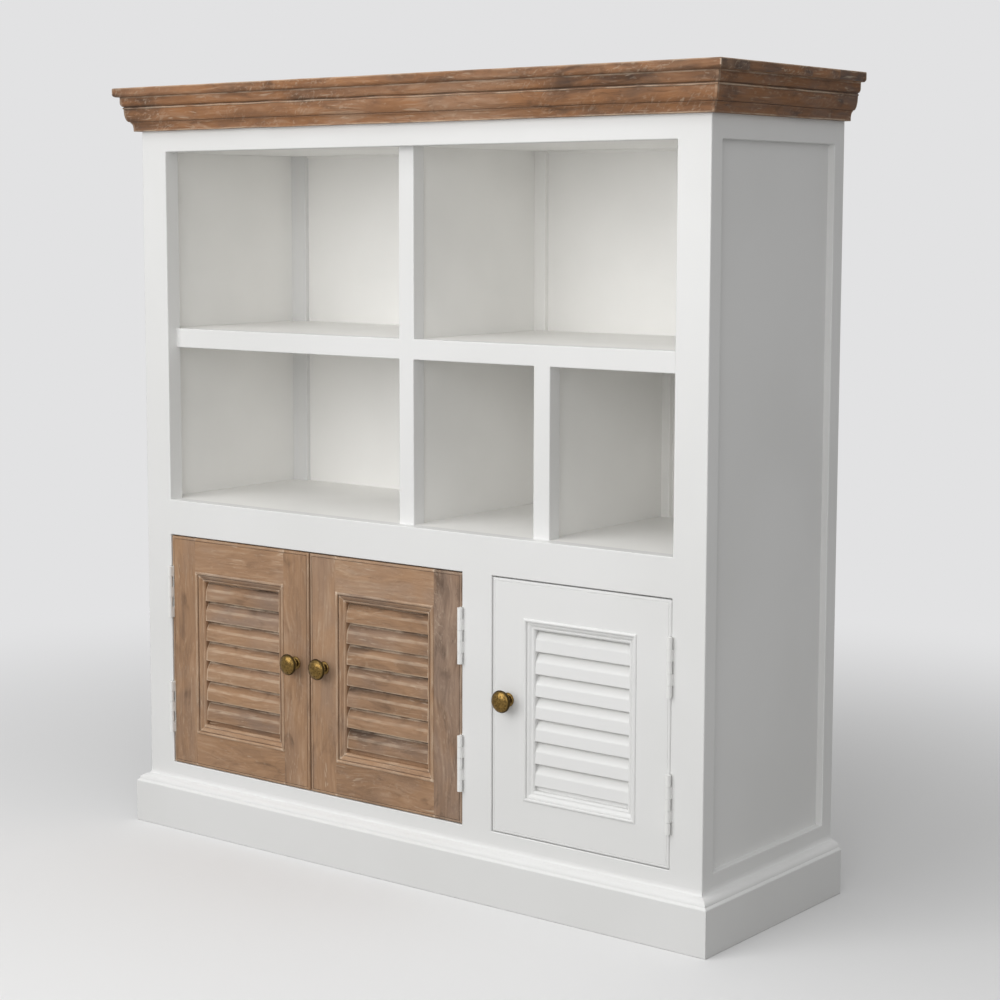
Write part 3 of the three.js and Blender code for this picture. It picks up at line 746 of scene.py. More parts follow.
def soften(form, node, width):
    """Rounds the sharp edges of a board wherever no neighbour covers them."""
    margin = 0.001
    low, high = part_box(node)
    covers = touching_boxes(node)
    for cover in covers:
        for corner in cover:
            for axis in range(3):
                if low[axis] + margin < corner[axis] < high[axis] - margin:
                    split(form, corner, along_axis(axis))
    free = []
    for edge in sharp_edges(form, 60):
        middle = (edge.verts[0].co + edge.verts[1].co) / 2
        if not any(all(a[axis] <= middle[axis] <= b[axis] for axis in range(3)) for a, b in covers):
            free.append(edge)
    round_edges(form, free, width)


def dress_board(node, kind, along, inner_face=None):
    """A painted board with softened edges that stands for its node.

    Faces that look along inner_face take the brighter inside paint, a painted light for the shade inside the
    cubbies.
    """
    form = whole_copy(node)
    soften(form, node, bpy.context.scene.bookcase_sizes.board_arris)
    if inner_face:
        for face in form.faces:
            if face.normal.dot(Vector(inner_face)) > 0.9:
                face.material_index = 1
    piece = make_piece(form, f"{node}_painted", body_of(node), kind, along, node)
    if inner_face:
        piece.data.materials.append(paint_finish("inside_paint", along))


def from_carcass(point):
    """How far a point stands out from the carcass, at its front or at a side."""
    return max(abs(point.x) - HALF, FRONT - point.y)


def from_mitre(point):
    """How far a point is from the joint at a front corner, measured along the trim."""
    return abs(abs(point.x) - HALF - (FRONT - point.y))


def mitred_lengths(outline, out, arris, is_rounded):
    """Makes the front, left and right lengths of a trim round the carcass, mitred at the front corners.

    The outline gives how far out from the carcass and how high each point is, and out is its widest.
    The lengthwise edges that is_rounded(edge) picks are rounded by the arris.
    """
    gap = 0.0002
    runs = (
        ("front", "x", (-HALF - out, HALF + out), lambda off, up, far: (far, FRONT - off, up),
         (((HALF - gap, FRONT, 0), (1, 1, 0)), ((gap - HALF, FRONT, 0), (-1, 1, 0)))),
        ("left", "y", (FRONT - out, BACK), lambda off, up, far: (-HALF - off, far, up),
         (((-HALF, FRONT + gap, 0), (1, -1, 0)),)),
        ("right", "y", (FRONT - out, BACK), lambda off, up, far: (HALF + off, far, up),
         (((HALF, FRONT + gap, 0), (-1, -1, 0)),)),
    )
    for side, along, (start, end), place, cuts in runs:
        form = length_of(outline, start, end, place)
        for point, normal in cuts:
            split(form, point, normal, keep_inner=True)
        axis = "xyz".index(along)
        arrises = [edge for edge in sharp_edges(form, 35) if runs_along(edge, axis) and is_rounded(edge)]
        shade_by_angle(form, 32)
        round_edges(form, arrises, arris)
        yield side, along, form


# Operators


class BOOKCASE_OT_carcass(bpy.types.Operator):
    """Paints the posts, rails and side panels and softens their edges"""

    bl_idname = "bookcase.carcass"
    bl_label = "Carcass Frame"

    def execute(self, context):
        for side, inwards in (("left", 1), ("right", -1)):
            for place in ("front", "rear"):
                dress_board(f"{side}_{place}_post", "paint", "z")
            for level in ("top", "bottom"):
                dress_board(f"{side}_side_{level}_rail", "paint", "y")
            dress_board(f"{side}_side_panel", "paint", "z", (inwards, 0, 0))
        for level in ("top", "middle", "bottom"):
            dress_board(f"front_{level}_rail", "paint", "x")
        dress_board("door_mullion", "paint", "z")
        return {"FINISHED"}


class BOOKCASE_OT_shelves(bpy.types.Operator):
    """Paints the shelves, dividers, their front rails and the back"""

    bl_idname = "bookcase.shelves"
    bl_label = "Shelves and Back"

    def execute(self, context):
        dress_board("upper_shelf_rail", "paint", "x")
        dress_board("centre_mullion", "paint", "z")
        dress_board("small_mullion", "paint", "z")
        # The inner boards take the brighter inside paint, as painted light where the cubbies are in shade
        level = (
            "ceiling_board", "upper_shelf", "middle_shelf", "cabinet_floor", "door_stop_rail",
            "back_top_rail",
        )
        for node in level:
            dress_board(node, "inside_paint", "x")
        upright = (
            "centre_divider", "small_divider", "cabinet_divider", "back_panel", "back_centre_stile",
            "small_back_stile",
        )
        for node in upright:
            dress_board(node, "inside_paint", "z")
        return {"FINISHED"}


class BOOKCASE_OT_cornice(bpy.types.Operator):
    """Models the three lengths of the cornice, mitred at the front corners"""

    bl_idname = "bookcase.cornice"
    bl_label = "Cornice"

    # How far each step of the outline stands out from the carcass
    out, band, foot, fillet, lower_edge = 0.026, 0.0215, 0.015, 0.0138, 0.010

    # How far below the top the nose, the bead, the large round and the fillet lie, and their sizes
    nose_drop, nose_height = 0.009, 0.007
    bead_drop, bead_radius = 0.0186, 0.0014
    round_drop, round_height = 0.0212, 0.020
    fillet_drop, fillet_end = 0.0413, 0.0430

    # Height of the lip under the hollow, and how high the darker foot reaches
    lip = 0.0025
    dark_foot = 0.0125

    # Tone, greyness and figure of each length; the right length's low tone is a painted shade of its side
    looks = {"front": (0.44, 0.35, -0.1), "left": (0.42, 0.35, -0.6), "right": (0.13, 0.15, -0.6)}

    def execute(self, context):
        sizes = context.scene.bookcase_sizes
        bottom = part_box("cornice_front")[0].z
        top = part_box("cornice_front")[1].z
        below_top = top - 0.001
        hollow = (self.lower_edge - self.fillet, top - self.fillet_end - bottom - self.lip)
        outline = [
            (0, bottom), (0, top), (self.out, top),
            *arc((self.band, top - self.nose_drop), (self.out - self.band, -self.nose_height), 0, 1, 6),
            *arc((self.band, top - self.bead_drop), (self.bead_radius, -self.bead_radius), -1, 1, 6),
            *arc((self.foot, top - self.round_drop), (self.band - self.foot, -self.round_height), 0, 1, 12),
            (self.fillet, top - self.fillet_drop),
            (self.fillet, top - self.fillet_end),
            *arc((self.fillet, bottom + self.lip), hollow, 1, 0, 8)[1:],
            (self.lower_edge, bottom),
        ]

        def is_rounded(edge):
            return min(vert.co.z for vert in edge.verts) < below_top

        def free(point):
            clear = from_carcass(point) > 0.001 and point.z < below_top
            return ramp(from_mitre(point), 0, 0.02) if clear else 0

        lengths = mitred_lengths(outline, self.out, sizes.moulding_arris, is_rounded)
        for number, (side, along, form) in enumerate(lengths):
            tone, greyness, figure = self.looks[side]

            def shown_tone(vert):
                shown = tone - (0.06 if vert.co.z < bottom + self.dark_foot else 0)
                return shown + self.front_highlight_and_tone(vert.co.x) if side == "front" else shown

            wander(form, "xyz".index(along), 0.018, sizes.wear * 2.4, free, 3 + number)
            mark(form.verts, wear=lambda vert: min(0.25 + from_mitre(vert.co) / 0.02, 1), tone=shown_tone)
            mark(form.faces, shift=1.3 + number, greyness=greyness, figure=figure)
            make_piece(form, f"cornice_{side}_waxed", "carcass", "cornice", along, f"cornice_{side}")
        return {"FINISHED"}

    @staticmethod
    def front_highlight_and_tone(x):
        """The pale stretch right of the middle of the front, pale wax streaks with a painted highlight, and
        the dark one beside it.
        """
        return 0.46 * math.exp(-((x - 0.15) / 0.22) ** 2) - 0.4 * math.exp(-((x - 0.38) / 0.1) ** 2)


class BOOKCASE_OT_top_board(bpy.types.Operator):
    """Models the top as glued planks with moulded front and side edges"""

    bl_idname = "bookcase.top_board"
    bl_label = "Top Board"

    # Rounding of the edges underneath and on top
    lower_round = 0.005
    upper_round = 0.0018

    # How far behind the front edge the seams between the planks lie
    seams = (0.075, 0.16, 0.25, 0.33)

    # Tone and greyness of each plank from the front
    planks = ((0.46, 0.35), (0.54, 0.6), (0.38, 0.4), (0.56, 0.5), (0.44, 0.4))

    def execute(self, context):
        low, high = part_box("top_board")
        form = block(low, high)

        def edges_at(height):
            return [
                edge for edge in form.edges
                if all(abs(vert.co.z - height) < SAME for vert in edge.verts)
                and not all(abs(vert.co.y - high.y) < SAME for vert in edge.verts)
            ]

        round_edges(form, edges_at(low.z), self.lower_round, 6)
        round_edges(form, edges_at(high.z), self.upper_round, 4)

        # Pale wax and a painted highlight along the rounding, but not where it meets the top
        strip = self.upper_round - 0.0001

        def crest(vert):
            at_edge = vert.co.y < low.y + strip or abs(vert.co.x) > high.x - strip
            return 0.6 if at_edge and high.z - strip < vert.co.z < high.z - 0.0001 else 0

        mark(form.verts, crest=crest)
        seams = [low.y + seam for seam in self.seams]
        for seam in seams:
            split(form, (0, seam, 0), (0, 1, 0))
        wander(
            form, 0, 0.03, context.scene.bookcase_sizes.wear,
            lambda point: 1 if point.y < low.y + 0.004 and point.z > low.z + 0.001 else 0, 7,
        )

        def plank_of(face):
            middle = face.calc_center_median().y
            return sum(middle > seam for seam in seams)

        def is_end(face):
            return abs(face.normal.x) > 0.6

        def tone(face):
            return self.planks[plank_of(face)][0] - (0.3 if is_end(face) else 0)

        def greyness(face):
            return 1 if is_end(face) and plank_of(face) == 0 else self.planks[plank_of(face)][1]

        mark(
            form.faces, wear=1, shift=lambda face: 6.1 + plank_of(face) * 1.7, tone=tone, greyness=greyness,
            figure=lambda face: -0.6 if face.normal.z > 0.6 else 0,
        )
        for face in form.faces:
            face.material_index = 1 if is_end(face) else 0
        board = make_piece(form, "top_board_waxed", "carcass", "cornice", "x", "top_board")
        board.data.materials.append(wood_finish("cornice", "y"))
        return {"FINISHED"}


class BOOKCASE_OT_plinth(bpy.types.Operator):
    """Models the three plinth boards with their rolled top edge"""

    bl_idname = "bookcase.plinth"
    bl_label = "Plinth"

    # Where the roll springs from, its step back from the face, its height and that of the cove over it
    shoulder = 0.074
    step = 0.0035
    ease = 0.003
    roll_height = 0.010
    cove = 0.003
    cove_height = 0.008

    def execute(self, context):
        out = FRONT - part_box("plinth_front")[0].y
        roll_reach = out - self.step
        roll_end = math.acos(self.cove / roll_reach) / (math.pi / 2)
        roll = arc((0, self.shoulder), (roll_reach, self.roll_height), 0, roll_end, 12)
        cove_top = roll[-1][1] + self.cove_height
        outline = [
            (0, 0), (out, 0), (out, self.shoulder - self.ease), *roll,
            *arc((self.cove, cove_top), (-self.cove, -self.cove_height), 1, 0, 8)[1:],
        ]

        def is_rounded(edge):
            off_floor = min(vert.co.z for vert in edge.verts) > 0.001
            return off_floor or all(from_carcass(vert.co) > out - 0.0005 for vert in edge.verts)

        arris = context.scene.bookcase_sizes.plinth_arris
        for side, along, form in mitred_lengths(outline, out, arris, is_rounded):
            make_piece(form, f"plinth_{side}_painted", "carcass", "paint", along, f"plinth_{side}")
        return {"FINISHED"}


class BOOKCASE_OT_door_frames(bpy.types.Operator):
    """Cuts each door's frame into two stiles and two rails"""

    bl_idname = "bookcase.door_frames"
    bl_label = "Door Frames"

    # Tone and greyness of the left stile, the right stile, the bottom rail and the top rail
    tones = ((0.47, 0.46, 0.51, 0.49), (0.5, 0.49, 0.41, 0.58), (0.5,) * 4)
    greys = ((0.35, 0.3, 0.25, 0.3), (0.4, 0.85, 0.4, 0.4), (0.5,) * 4)

    def execute(self, context):
        for number, (door, kind) in enumerate(DOORS.items()):
            low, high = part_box(f"{door}_frame")
            window_low, window_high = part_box(f"{door}_moulding")
            left, right = (window_low.x, 0, 0), (window_high.x, 0, 0)
            between = ((left, (-1, 0, 0)), (right, (1, 0, 0)))
            parts = {
                "left_stile": ("z", [(left, (1, 0, 0))]),
                "right_stile": ("z", [(right, (-1, 0, 0))]),
                "bottom_rail": ("x", [((0, 0, window_low.z), (0, 0, 1)), *between]),
                "top_rail": ("x", [((0, 0, window_high.z), (0, 0, -1)), *between]),
            }
            for place, (label, (along, cuts)) in enumerate(parts.items()):
                form = whole_copy(f"{door}_frame")
                for point, normal in cuts:
                    split(form, point, normal, keep_inner=True)
                bmesh.ops.recalc_face_normals(form, faces=form.faces)
                self.groove_face(form, low, high, context.scene.bookcase_sizes)
                self.smooth_arrises(form)
                figured = door == "middle_door" and label == "right_stile"
                if figured:
                    for step in range(1, 5):
                        split(form, (0, 0, high.z - 0.05 * step), (0, 0, 1))
                tone = self.tones[number][place]

                def near_top(vert):
                    return ramp(high.z - vert.co.z, 0.18, 0.03) if figured else 0

                mark(form.faces, shift=2 + number * 5.3 + place * 1.9, greyness=self.greys[number][place])
                mark(
                    form.verts, tone=lambda vert: tone - 0.1 * near_top(vert),
                    figure=lambda vert: 0.9 * near_top(vert),
                )
                make_piece(form, f"{door}_{label}", door, kind, along, f"{door}_frame")
        return {"FINISHED"}

    @staticmethod
    def groove_face(form, low, high, sizes):
        """Cuts a fine groove just inside the outer edges of a door's face, and marks them as worn."""
        inset, half, depth = sizes.door_groove_inset, sizes.door_groove_width / 2, sizes.door_groove_depth
        for offset in (inset - half, inset, inset + half):
            for point, normal in (
                ((low.x + offset, 0, 0), (1, 0, 0)), ((high.x - offset, 0, 0), (1, 0, 0)),
                ((0, 0, low.z + offset), (0, 0, 1)), ((0, 0, high.z - offset), (0, 0, 1)),
            ):
                split(form, point, normal)

        def from_edge(place):
            return min(place.x - low.x, high.x - place.x, place.z - low.z, high.z - place.z)

        mark(form.verts, wear=lambda vert: 1 if from_edge(vert.co) < inset else 0)
        for vert in form.verts:
            if vert.co.y < low.y + SAME:
                vert.co.y += depth * ramp(abs(from_edge(vert.co) - inset), half, 0)

    @staticmethod
    def smooth_arrises(form):
        """Shades the rounded arrises smooth and leaves the flats crisp."""
        for face in form.faces:
            face.smooth = True
        for edge in form.edges:
            edge.smooth = all(max(map(abs, face.normal)) < 0.999 for face in edge.link_faces)


# The moulding in a door: its width, its depth behind the door's face, and how far its inner edge lies
# behind the face, which is where the fronts of the slats are too
MOULDING_WIDTH = 0.017
MOULDING_DEPTH = 0.017
MOULDING_FALL = 0.007


class BOOKCASE_OT_door_mouldings(bpy.types.Operator):
    """Models the four mitred lengths of stepped moulding in each door"""

    bl_idname = "bookcase.door_mouldings"
    bl_label = "Door Mouldings"

    # The round bead along the outer edge
    bead_width = 0.005
    bead_proud = 0.002

    # The rest of the outline, as shares of the width inwards and of the fall
    first_step = (0.02, 0.3)
    hollow = ((0.07, 0.2), (0.29, 0.3), (0.49, 0.58), (0.62, 0.72))
    inner_bead = ((0.66, 0.62), (0.83, 0.66), (1.0, 1.0))

    # Tone and greyness of the left, right, bottom and top lengths
    looks = ((0.46, 0.4), (0.5, 0.45), (0.6, 0.3), (0.46, 0.6))

    def execute(self, context):
        bead = self.bead_width
        rest = MOULDING_WIDTH - bead
        steps = [self.first_step, *smooth_curve(self.hollow, 4), *smooth_curve(self.inner_bead, 4)]
        outline = [
            (0, MOULDING_DEPTH), (MOULDING_WIDTH, MOULDING_DEPTH),
            *[(bead + inset * rest, drop * MOULDING_FALL) for inset, drop in reversed(steps)],
            *arc((bead / 2, 0), (bead / 2, -self.bead_proud), 0, 2, 10),
        ]
        for number, (door, kind) in enumerate(DOORS.items()):
            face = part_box(f"{door}_frame")[0].y
            (left, _, bottom), (right, _, top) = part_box(f"{door}_moulding")
            runs = (
                ("left", "z", (1, 0), lambda inset, drop, far: (left + inset, face + drop, far)),
                ("right", "z", (-1, 0), lambda inset, drop, far: (right - inset, face + drop, far)),
                ("bottom", "x", (0, 1), lambda inset, drop, far: (far, face + drop, bottom + inset)),
                ("top", "x", (0, -1), lambda inset, drop, far: (far, face + drop, top - inset)),
            )
            for place, (label, along, (in_x, in_z), put) in enumerate(runs):
                ends = (bottom, top) if along == "z" else (left, right)
                form = length_of(outline, *ends, put)
                for end, way in zip(ends, (-1, 1)):
                    split(form, put(0, 0, end), (in_x or way, 0, in_z or way), keep_inner=True)
                axis = "xyz".index(along)
                shade_by_angle(form, 30)
                if kind == "door":
                    wander(
                        form, axis, 0.016, context.scene.bookcase_sizes.wear,
                        lambda point: self.free_share(point, axis, ends, face + MOULDING_FALL), 8 + place,
                    )
                tone, greyness = self.looks[place]
                mark(form.faces, shift=4 + number * 3.1 + place * 2.3, wear=1, tone=tone, greyness=greyness)
                make_piece(form, f"{door}_moulding_{label}", door, kind, along, f"{door}_moulding")
        return {"FINISHED"}

    @staticmethod
    def free_share(point, axis, ends, depth):
        """How far a point of a length may wander: not at its mitres, nor where it meets the slats."""
        from_end = min(abs(point[axis] - end) for end in ends)
        return ramp(from_end, 0.018, 0.038) if point.y < depth - 0.0005 else 0


class BOOKCASE_OT_louvres(bpy.types.Operator):
    """Models the louvre slats of each door, the strip under them and the board behind them"""

    bl_idname = "bookcase.louvres"
    bl_label = "Louvres"

    # The strip under the slats, how much of the top slat the moulding hides, and the board behind
    sill_height = 0.0073
    sill_depth = 0.013
    top_hidden = 0.0015
    board_depth = 0.020
    board_arris = 0.0008

    # How far a slat's face leans back, and the share of its height that slopes back over it
    lean = 0.001
    slope_share = 0.45

    # Tone and greyness of each door's slats from the bottom up
    tones = (
        (0.43, 0.42, 0.45, 0.46, 0.46, 0.4, 0.43),
        (0.33, 0.33, 0.34, 0.33, 0.37, 0.33, 0.4),
        (0.5,) * 7,
    )
    greys = (
        (0.6, 0.2, 0.3, 0.4, 0.35, 0.75, 0.65),
        (0.65, 0.55, 0.4, 0.5, 0.4, 0.65, 0.35),
        (0.5,) * 7,
    )

    def execute(self, context):
        count = context.scene.bookcase_sizes.slat_count
        for number, (door, kind) in enumerate(DOORS.items()):
            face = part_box(f"{door}_frame")[0].y
            rear = face + MOULDING_DEPTH
            low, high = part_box(f"{door}_moulding")
            left, right = low.x + MOULDING_WIDTH, high.x - MOULDING_WIDTH
            bottom, top = low.z + MOULDING_WIDTH, high.z - MOULDING_WIDTH
            sill_top = bottom + self.sill_height
            pitch = (top + self.top_hidden - sill_top) / count
            for slat in range(count):
                foot = sill_top + slat * pitch
                turn = foot + pitch * (1 - self.slope_share)
                form = self.slat(kind, (left, right), face, (foot, turn, foot + pitch), top)
                if kind == "door":
                    wander(
                        form, 0, 0.02, context.scene.bookcase_sizes.wear * 1.6,
                        lambda point: 1 if point.y < rear - 0.002 else 0, 5 + number * 9 + slat,
                    )
                tone = self.tones[number][slat % 7] + 0.08

                def up_slope(vert):
                    return ramp(vert.co.z, turn, foot + pitch)

                # The top of each slope darkens towards the slat above as a painted shadow under its lip,
                # through the tone of wood and the shade of paint
                mark(
                    form.verts, tone=lambda vert: tone - 0.75 * up_slope(vert) ** 2,
                    shade=lambda vert: 0.15 + 0.6 * up_slope(vert) if vert.co.z > turn else 0,
                )
                greyness = self.greys[number][slat % 7]
                mark(form.faces, shift=number * 6.7 + slat * 2.9, wear=1, greyness=greyness)
                make_piece(form, f"{door}_slat_{slat + 1}", door, kind, "x", f"{door}_louvres")
            sill = block((left, face + self.sill_depth, bottom), (right, rear, sill_top))
            mark(sill.faces, shift=number * 2.1, tone=0.36, greyness=0.4, wear=0)
            make_piece(sill, f"{door}_slat_sill", door, kind, "x", f"{door}_louvres")
            board = block((low.x, rear, low.z), (high.x, face + self.board_depth, high.z))
            behind = [edge for edge in board.edges if min(vert.co.y for vert in edge.verts) > rear]
            round_edges(board, behind, self.board_arris)
            mark(board.faces, shift=number * 4.3, tone=0.4, greyness=0.4, wear=0)
            make_piece(board, f"{door}_back_board", door, kind, "z", f"{door}_louvres")
        return {"FINISHED"}

    def slat(self, kind, ends, face, heights, top):
        """One slat, whose face stands up to a turn and slopes back from there to its tip."""
        sizes = bpy.context.scene.bookcase_sizes
        foot, turn, tip = heights
        front = face + MOULDING_FALL
        rear = face + MOULDING_DEPTH
        outline = [(rear, foot), (front, foot), (front + self.lean, turn), (rear, tip)]
        form = length_of(outline, *ends, lambda depth, up, far: (far, depth, up))

        def edges_at(depth, up):
            reach = 1e-5
            return [
                edge for edge in form.edges
                if all(abs(v.co.y - depth) < reach and abs(v.co.z - up) < reach for v in edge.verts)
            ]

        crisp = 20
        shade_by_angle(form, crisp)
        round_edges(form, edges_at(front, foot), sizes.slat_lip, 3)
        shoulder = sizes.slat_shoulder * (1 if kind == "door" else 0.5)
        strip = set(round_edges(form, edges_at(front + self.lean, turn), shoulder, 5))

        def crest(vert):
            """Pale wax and a painted highlight along the middle of the rounded strip."""
            in_strip = any(near in strip for near in vert.link_faces)
            at_side = any(near not in strip and abs(near.normal.x) < 0.9 for near in vert.link_faces)
            return 0.42 if in_strip and not at_side else 0

        mark(form.verts, crest=crest)
        if kind == "door":
            shade_by_angle(form, crisp)
        split(form, (0, 0, (turn + tip) / 2), (0, 0, 1))
        if tip > top:
            split(form, (0, 0, top), (0, 0, 1), keep_inner=True)
        return form


class BOOKCASE_OT_knobs(bpy.types.Operator):
    """Turns the mushroom knobs and hammers their heads"""

    bl_idname = "bookcase.knobs"
    bl_label = "Knobs"

    # The outline from the door outwards, as shares of the radius and of the reach
    base = ((0, 0), (0.62, 0))
    stem_and_head = (
        (0.62, 0), (0.62, 0.05), (0.54, 0.1), (0.34, 0.17), (0.28, 0.3), (0.3, 0.48), (0.56, 0.6),
        (0.9, 0.66), (1, 0.71), (0.97, 0.77), (0.82, 0.87), (0.5, 0.96), (0, 1),
    )

    def execute(self, context):
        sizes = context.scene.bookcase_sizes
        profile = [*self.base, *smooth_curve(self.stem_and_head, 5)[1:]]
        for number, door in enumerate(DOORS):
            low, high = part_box(f"{door}_knob")
            radius = (high.x - low.x) / 2
            reach = high.y - low.y
            centre = Vector(((low.x + high.x) / 2, high.y, (low.z + high.z) / 2))
            form = bmesh.new()
            turned_radius, turned_reach = radius - sizes.knob_relief, reach - sizes.knob_relief
            chain = [
                form.verts.new(centre + Vector((across * turned_radius, -out * turned_reach, 0)))
                for across, out in profile
            ]
            edges = [form.edges.new(pair) for pair in zip(chain, chain[1:])]
            bmesh.ops.spin(
                form, geom=[*chain, *edges], cent=centre, axis=(0, 1, 0), angle=math.tau, steps=72,
                use_merge=True,
            )
            bmesh.ops.remove_doubles(form, verts=form.verts, dist=SAME)
            bmesh.ops.recalc_face_normals(form, faces=form.faces)
            form.normal_update()
            self.hammer(form, centre, radius, reach, Vector((number * 7.3, 1.1, number * 3.9)))
            shade_by_angle(form, 50)
            make_piece(form, f"{door}_knob_turned", door, "brass", "x", f"{door}_knob")
        return {"FINISHED"}

    @staticmethod
    def hammer(form, centre, radius, reach, seed):
        """Dents the head, and marks the hollows of the dents, and the rim and the stem under the head, which
        take patina and painted shade.
        """
        sizes = bpy.context.scene.bookcase_sizes

        def measured(vert):
            """How far across and how far out a point is, as shares of the radius and of the reach."""
            offset = vert.co - centre
            return math.hypot(offset.x, offset.z) / radius, -offset.y / reach

        def head(vert):
            across, out = measured(vert)
            return ramp(out, 0.5, 0.58) * ramp(across, 1.02, 0.87)

        def ridge(vert):
            nearest = noise.voronoi((vert.co - centre) / sizes.knob_dent + seed)[0][0]
            return min(nearest / 0.62, 1) ** 1.6

        # Patina and painted shade on the rim and on the stem under the head
        def rim(vert):
            across, out = measured(vert)
            return max(ramp(across, 0.78, 0.94), min(ramp(out, 0.66, 0.6), 0.5))

        mark(form.verts, rim=rim, hollow=lambda vert: head(vert) * (1 - ridge(vert)))
        pushes = [
            vert.normal * sizes.knob_relief * head(vert) * (ridge(vert) - 0.5) * 2 for vert in form.verts
        ]
        for vert, push in zip(form.verts, pushes):
            vert.co += push


class BOOKCASE_OT_hinges(bpy.types.Operator):
    """Shades the hinge leaves smooth, paints them and sets their screws"""

    bl_idname = "bookcase.hinges"
    bl_label = "Hinges"

    # Where the screws stand: as shares of a leaf's height, and in front of its rear edge
    screw_shares = (0.14, 0.5, 0.86)
    screw_inset = 0.0075

    def execute(self, context):
        radius = context.scene.bookcase_sizes.screw_radius
        for door in DOORS:
            door_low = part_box(f"{door}_frame")[0]
            for level in ("top", "bottom"):
                for leaf in ("door", "frame"):
                    node = f"{door}_{level}_hinge_{leaf}_leaf"
                    low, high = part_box(node)
                    form = whole_copy(node)
                    shade_by_angle(form, 40)
                    make_piece(form, f"{node}_painted", body_of(node), "hinge_paint", "z", node)
                    inwards = 1 if low.x < door_low.x + 0.004 else -1
                    way = inwards if leaf == "frame" else -inwards
                    face_x = self.plate_face(node, way)
                    for share in self.screw_shares:
                        height = low.z + (high.z - low.z) * share
                        centre = Vector((face_x, high.y - self.screw_inset, height))
                        screw = self.screw_head(centre, way, radius)
                        name = f"{door}_{level}_{leaf}_screw_{int(share * 100)}"
                        make_piece(screw, name, body_of(node), "hinge_paint", "z")
        return {"FINISHED"}

    @staticmethod
    def plate_face(node, way):
        """Where the flat of a leaf lies that looks along X one way."""
        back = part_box(node)[1].y
        places = [vert.co.x for vert in frame["nodes"][node].data.vertices if vert.co.y > back - 0.001]
        return max(places) if way > 0 else min(places)

    @staticmethod
    def screw_head(centre, way, radius):
        """A flat screw head with a slot, standing just proud of the plate."""
        thickness, sunk, slot_depth = 0.0008, 0.0002, 0.0004
        half_slot = radius * 0.2
        form = bmesh.new()
        bmesh.ops.create_cone(
            form, cap_ends=True, cap_tris=False, segments=20, radius1=radius, radius2=radius * 0.93,
            depth=thickness,
        )
        top = max(form.faces, key=lambda face: face.calc_center_median().z)
        bmesh.ops.inset_region(form, faces=[top], thickness=radius * 0.12)
        for offset in (half_slot, -half_slot):
            split(form, (offset, 0, 0), (1, 0, 0))
        slot = [
            face for face in form.faces
            if face.normal.z > 0.9 and abs(face.calc_center_median().x) < half_slot * 0.9
            and face.calc_center_median().xy.length < radius * 0.8
        ]
        push_out(form, slot, (0, 0, -slot_depth))
        bmesh.ops.delete(form, geom=slot, context="FACES")
        for vert in form.verts:
            across, up, out = vert.co
            vert.co = centre + Vector((way * (out - sunk), across, up))
        bmesh.ops.recalc_face_normals(form, faces=form.faces)
        shade_by_angle(form, 30)
        return form


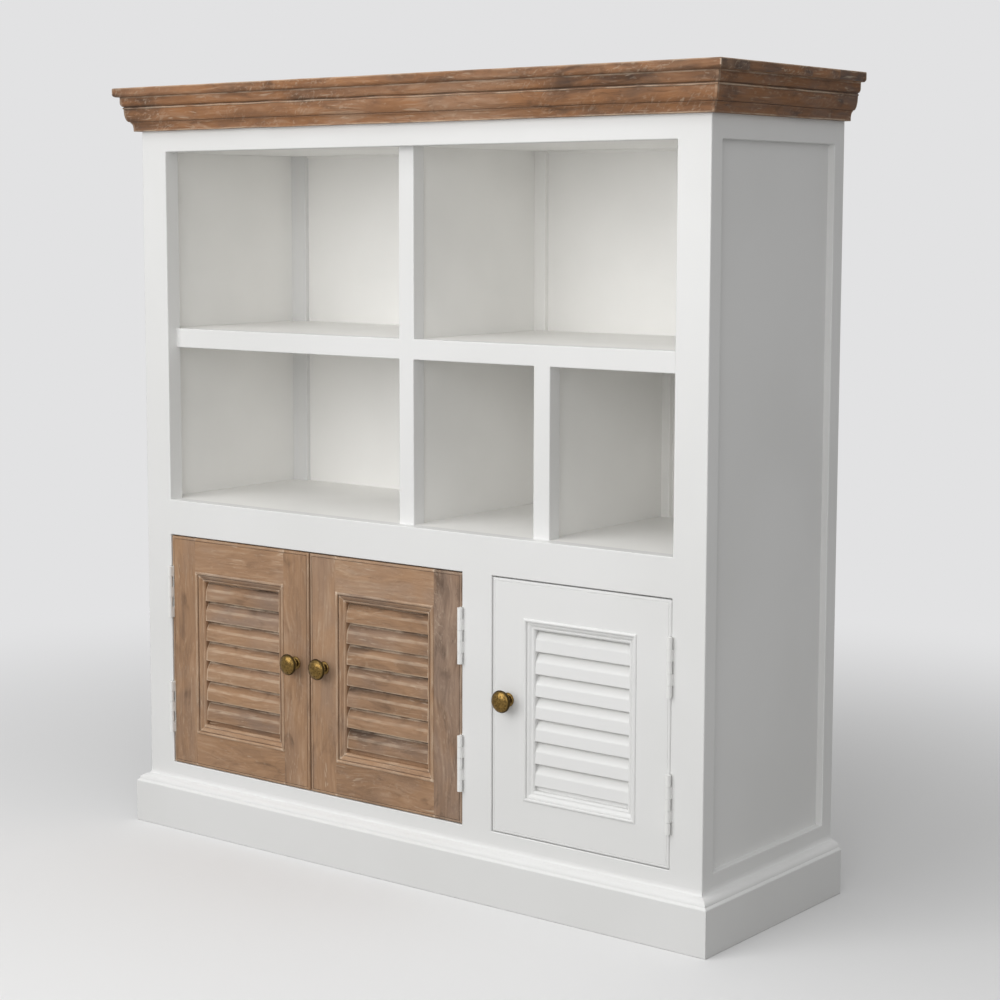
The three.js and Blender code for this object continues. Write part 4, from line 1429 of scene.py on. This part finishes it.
class BOOKCASE_OT_stage(bpy.types.Operator):
    """Sets the floor, the light and the camera"""

    bl_idname = "bookcase.stage"
    bl_label = "Stage"

    # The floor is plain up to the first distance from the middle, and wholly faded at the second
    fade = (0.75, 2.4)
    floor_radius = 30

    # Size and place of each lamp, and the point that all of them are aimed at
    lamps = {
        "key": ((2.8, 2.4), (-0.85, -3.15, 1.85)),
        "fill": ((1.8, 1.8), (2.1, -3.1, 1.5)),
        "top": ((2.4, 2.4), (0.1, -0.9, 3.4)),
    }
    lit_point = (0, 0, 0.65)

    def execute(self, context):
        scene = context.scene
        stage = scene.bookcase_stage
        self.lay_floor(scene, stage)
        self.hang_lights(scene, stage)
        data = bpy.data.cameras.new("camera")
        data.sensor_width = 36
        data.lens = stage.focal_length
        data.shift_x, data.shift_y = stage.shift
        data.clip_end = 100
        camera = bpy.data.objects.new("camera", data)
        camera.location = stage.camera_place
        camera.rotation_euler = stage.camera_turn
        scene.collection.objects.link(camera)
        scene.camera = camera
        scene.view_settings.view_transform = "Standard"
        return {"FINISHED"}

    def lay_floor(self, scene, stage):
        """A round floor that fades into the background away from the bookcase."""
        form = bmesh.new()
        bmesh.ops.create_circle(form, cap_ends=True, segments=96, radius=self.floor_radius)
        mesh = bpy.data.meshes.new("floor")
        form.to_mesh(mesh)
        form.free()
        floor = bpy.data.objects.new("floor", mesh)
        scene.collection.objects.link(floor)
        floor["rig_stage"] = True
        material = bpy.data.materials.new("floor")
        do = fresh_wiring(material)
        shown = do.shown_rays()
        floor_colour = do.mixed(shown, solid_colour(stage.floor_bounce), solid_colour(stage.floor))
        matt = do.add("BsdfDiffuse", {"Color": floor_colour})
        far = do.add("Emission", {"Color": solid_colour(stage.background), "Strength": 1})
        place = do.add("TexCoord").outputs["Object"]
        distance = do.add("VectorMath", {0: place}, operation="LENGTH").outputs["Value"]
        faded = do.times(do.spread(distance, *self.fade), shown)
        do.surface("Material", do.add("MixShader", {0: faded, 1: matt.outputs[0], 2: far.outputs[0]}))
        mesh.materials.append(material)

    def hang_lights(self, scene, stage):
        """Large soft lamps at the front and overhead, and light from all round."""
        for name, ((width, height), place) in self.lamps.items():
            lamp = bpy.data.lights.new(name, "AREA")
            lamp.shape = "RECTANGLE"
            lamp.size, lamp.size_y = width, height
            lamp.energy = getattr(stage, f"{name}_power")
            light = bpy.data.objects.new(name, lamp)
            light.location = place
            aim = Vector(self.lit_point) - light.location
            light.rotation_euler = aim.to_track_quat("-Z", "Y").to_euler()
            light.visible_camera = False
            scene.collection.objects.link(light)
        world = bpy.data.worlds.new("studio")
        scene.world = world
        do = fresh_wiring(world)
        light = do.add("Background", {"Color": (1, 1, 1, 1), "Strength": stage.sky})
        behind = do.add("Background", {"Color": solid_colour(stage.background), "Strength": 1})
        blended = do.add("MixShader", {0: do.shown_rays(), 1: light.outputs[0], 2: behind.outputs[0]})
        do.surface("World", blended)


PIECES = (
    BOOKCASE_OT_carcass,
    BOOKCASE_OT_shelves,
    BOOKCASE_OT_cornice,
    BOOKCASE_OT_top_board,
    BOOKCASE_OT_plinth,
    BOOKCASE_OT_door_frames,
    BOOKCASE_OT_door_mouldings,
    BOOKCASE_OT_louvres,
    BOOKCASE_OT_knobs,
    BOOKCASE_OT_hinges,
    BOOKCASE_OT_stage,
)


class BOOKCASE_PT_sidebar(bpy.types.Panel):
    """Lists the steps that build the bookcase"""

    bl_idname = "BOOKCASE_PT_sidebar"
    bl_label = "Bookcase"
    bl_space_type = "VIEW_3D"
    bl_region_type = "UI"
    bl_category = "Bookcase"

    def draw(self, context):
        for operator in PIECES:
            self.layout.operator(operator.bl_idname)


CLASSES = (BookcaseColours, BookcaseSizes, BookcaseStage, *PIECES, BOOKCASE_PT_sidebar)


def register():
    for cls in CLASSES:
        bpy.utils.register_class(cls)
    bpy.types.Scene.bookcase_colours = bpy.props.PointerProperty(type=BookcaseColours)
    bpy.types.Scene.bookcase_sizes = bpy.props.PointerProperty(type=BookcaseSizes)
    bpy.types.Scene.bookcase_stage = bpy.props.PointerProperty(type=BookcaseStage)


def unregister():
    del bpy.types.Scene.bookcase_stage
    del bpy.types.Scene.bookcase_sizes
    del bpy.types.Scene.bookcase_colours
    for cls in reversed(CLASSES):
        bpy.utils.unregister_class(cls)


def main():
    register()
    for operator in PIECES:
        getattr(bpy.ops.bookcase, operator.bl_idname.split(".")[1])()
    sizes = {"frame": frame_size, "dressed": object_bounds()}
    {key: [list(corner) for corner in corners] for key, corners in sizes.items()}


if __name__ == "__main__":
    main()
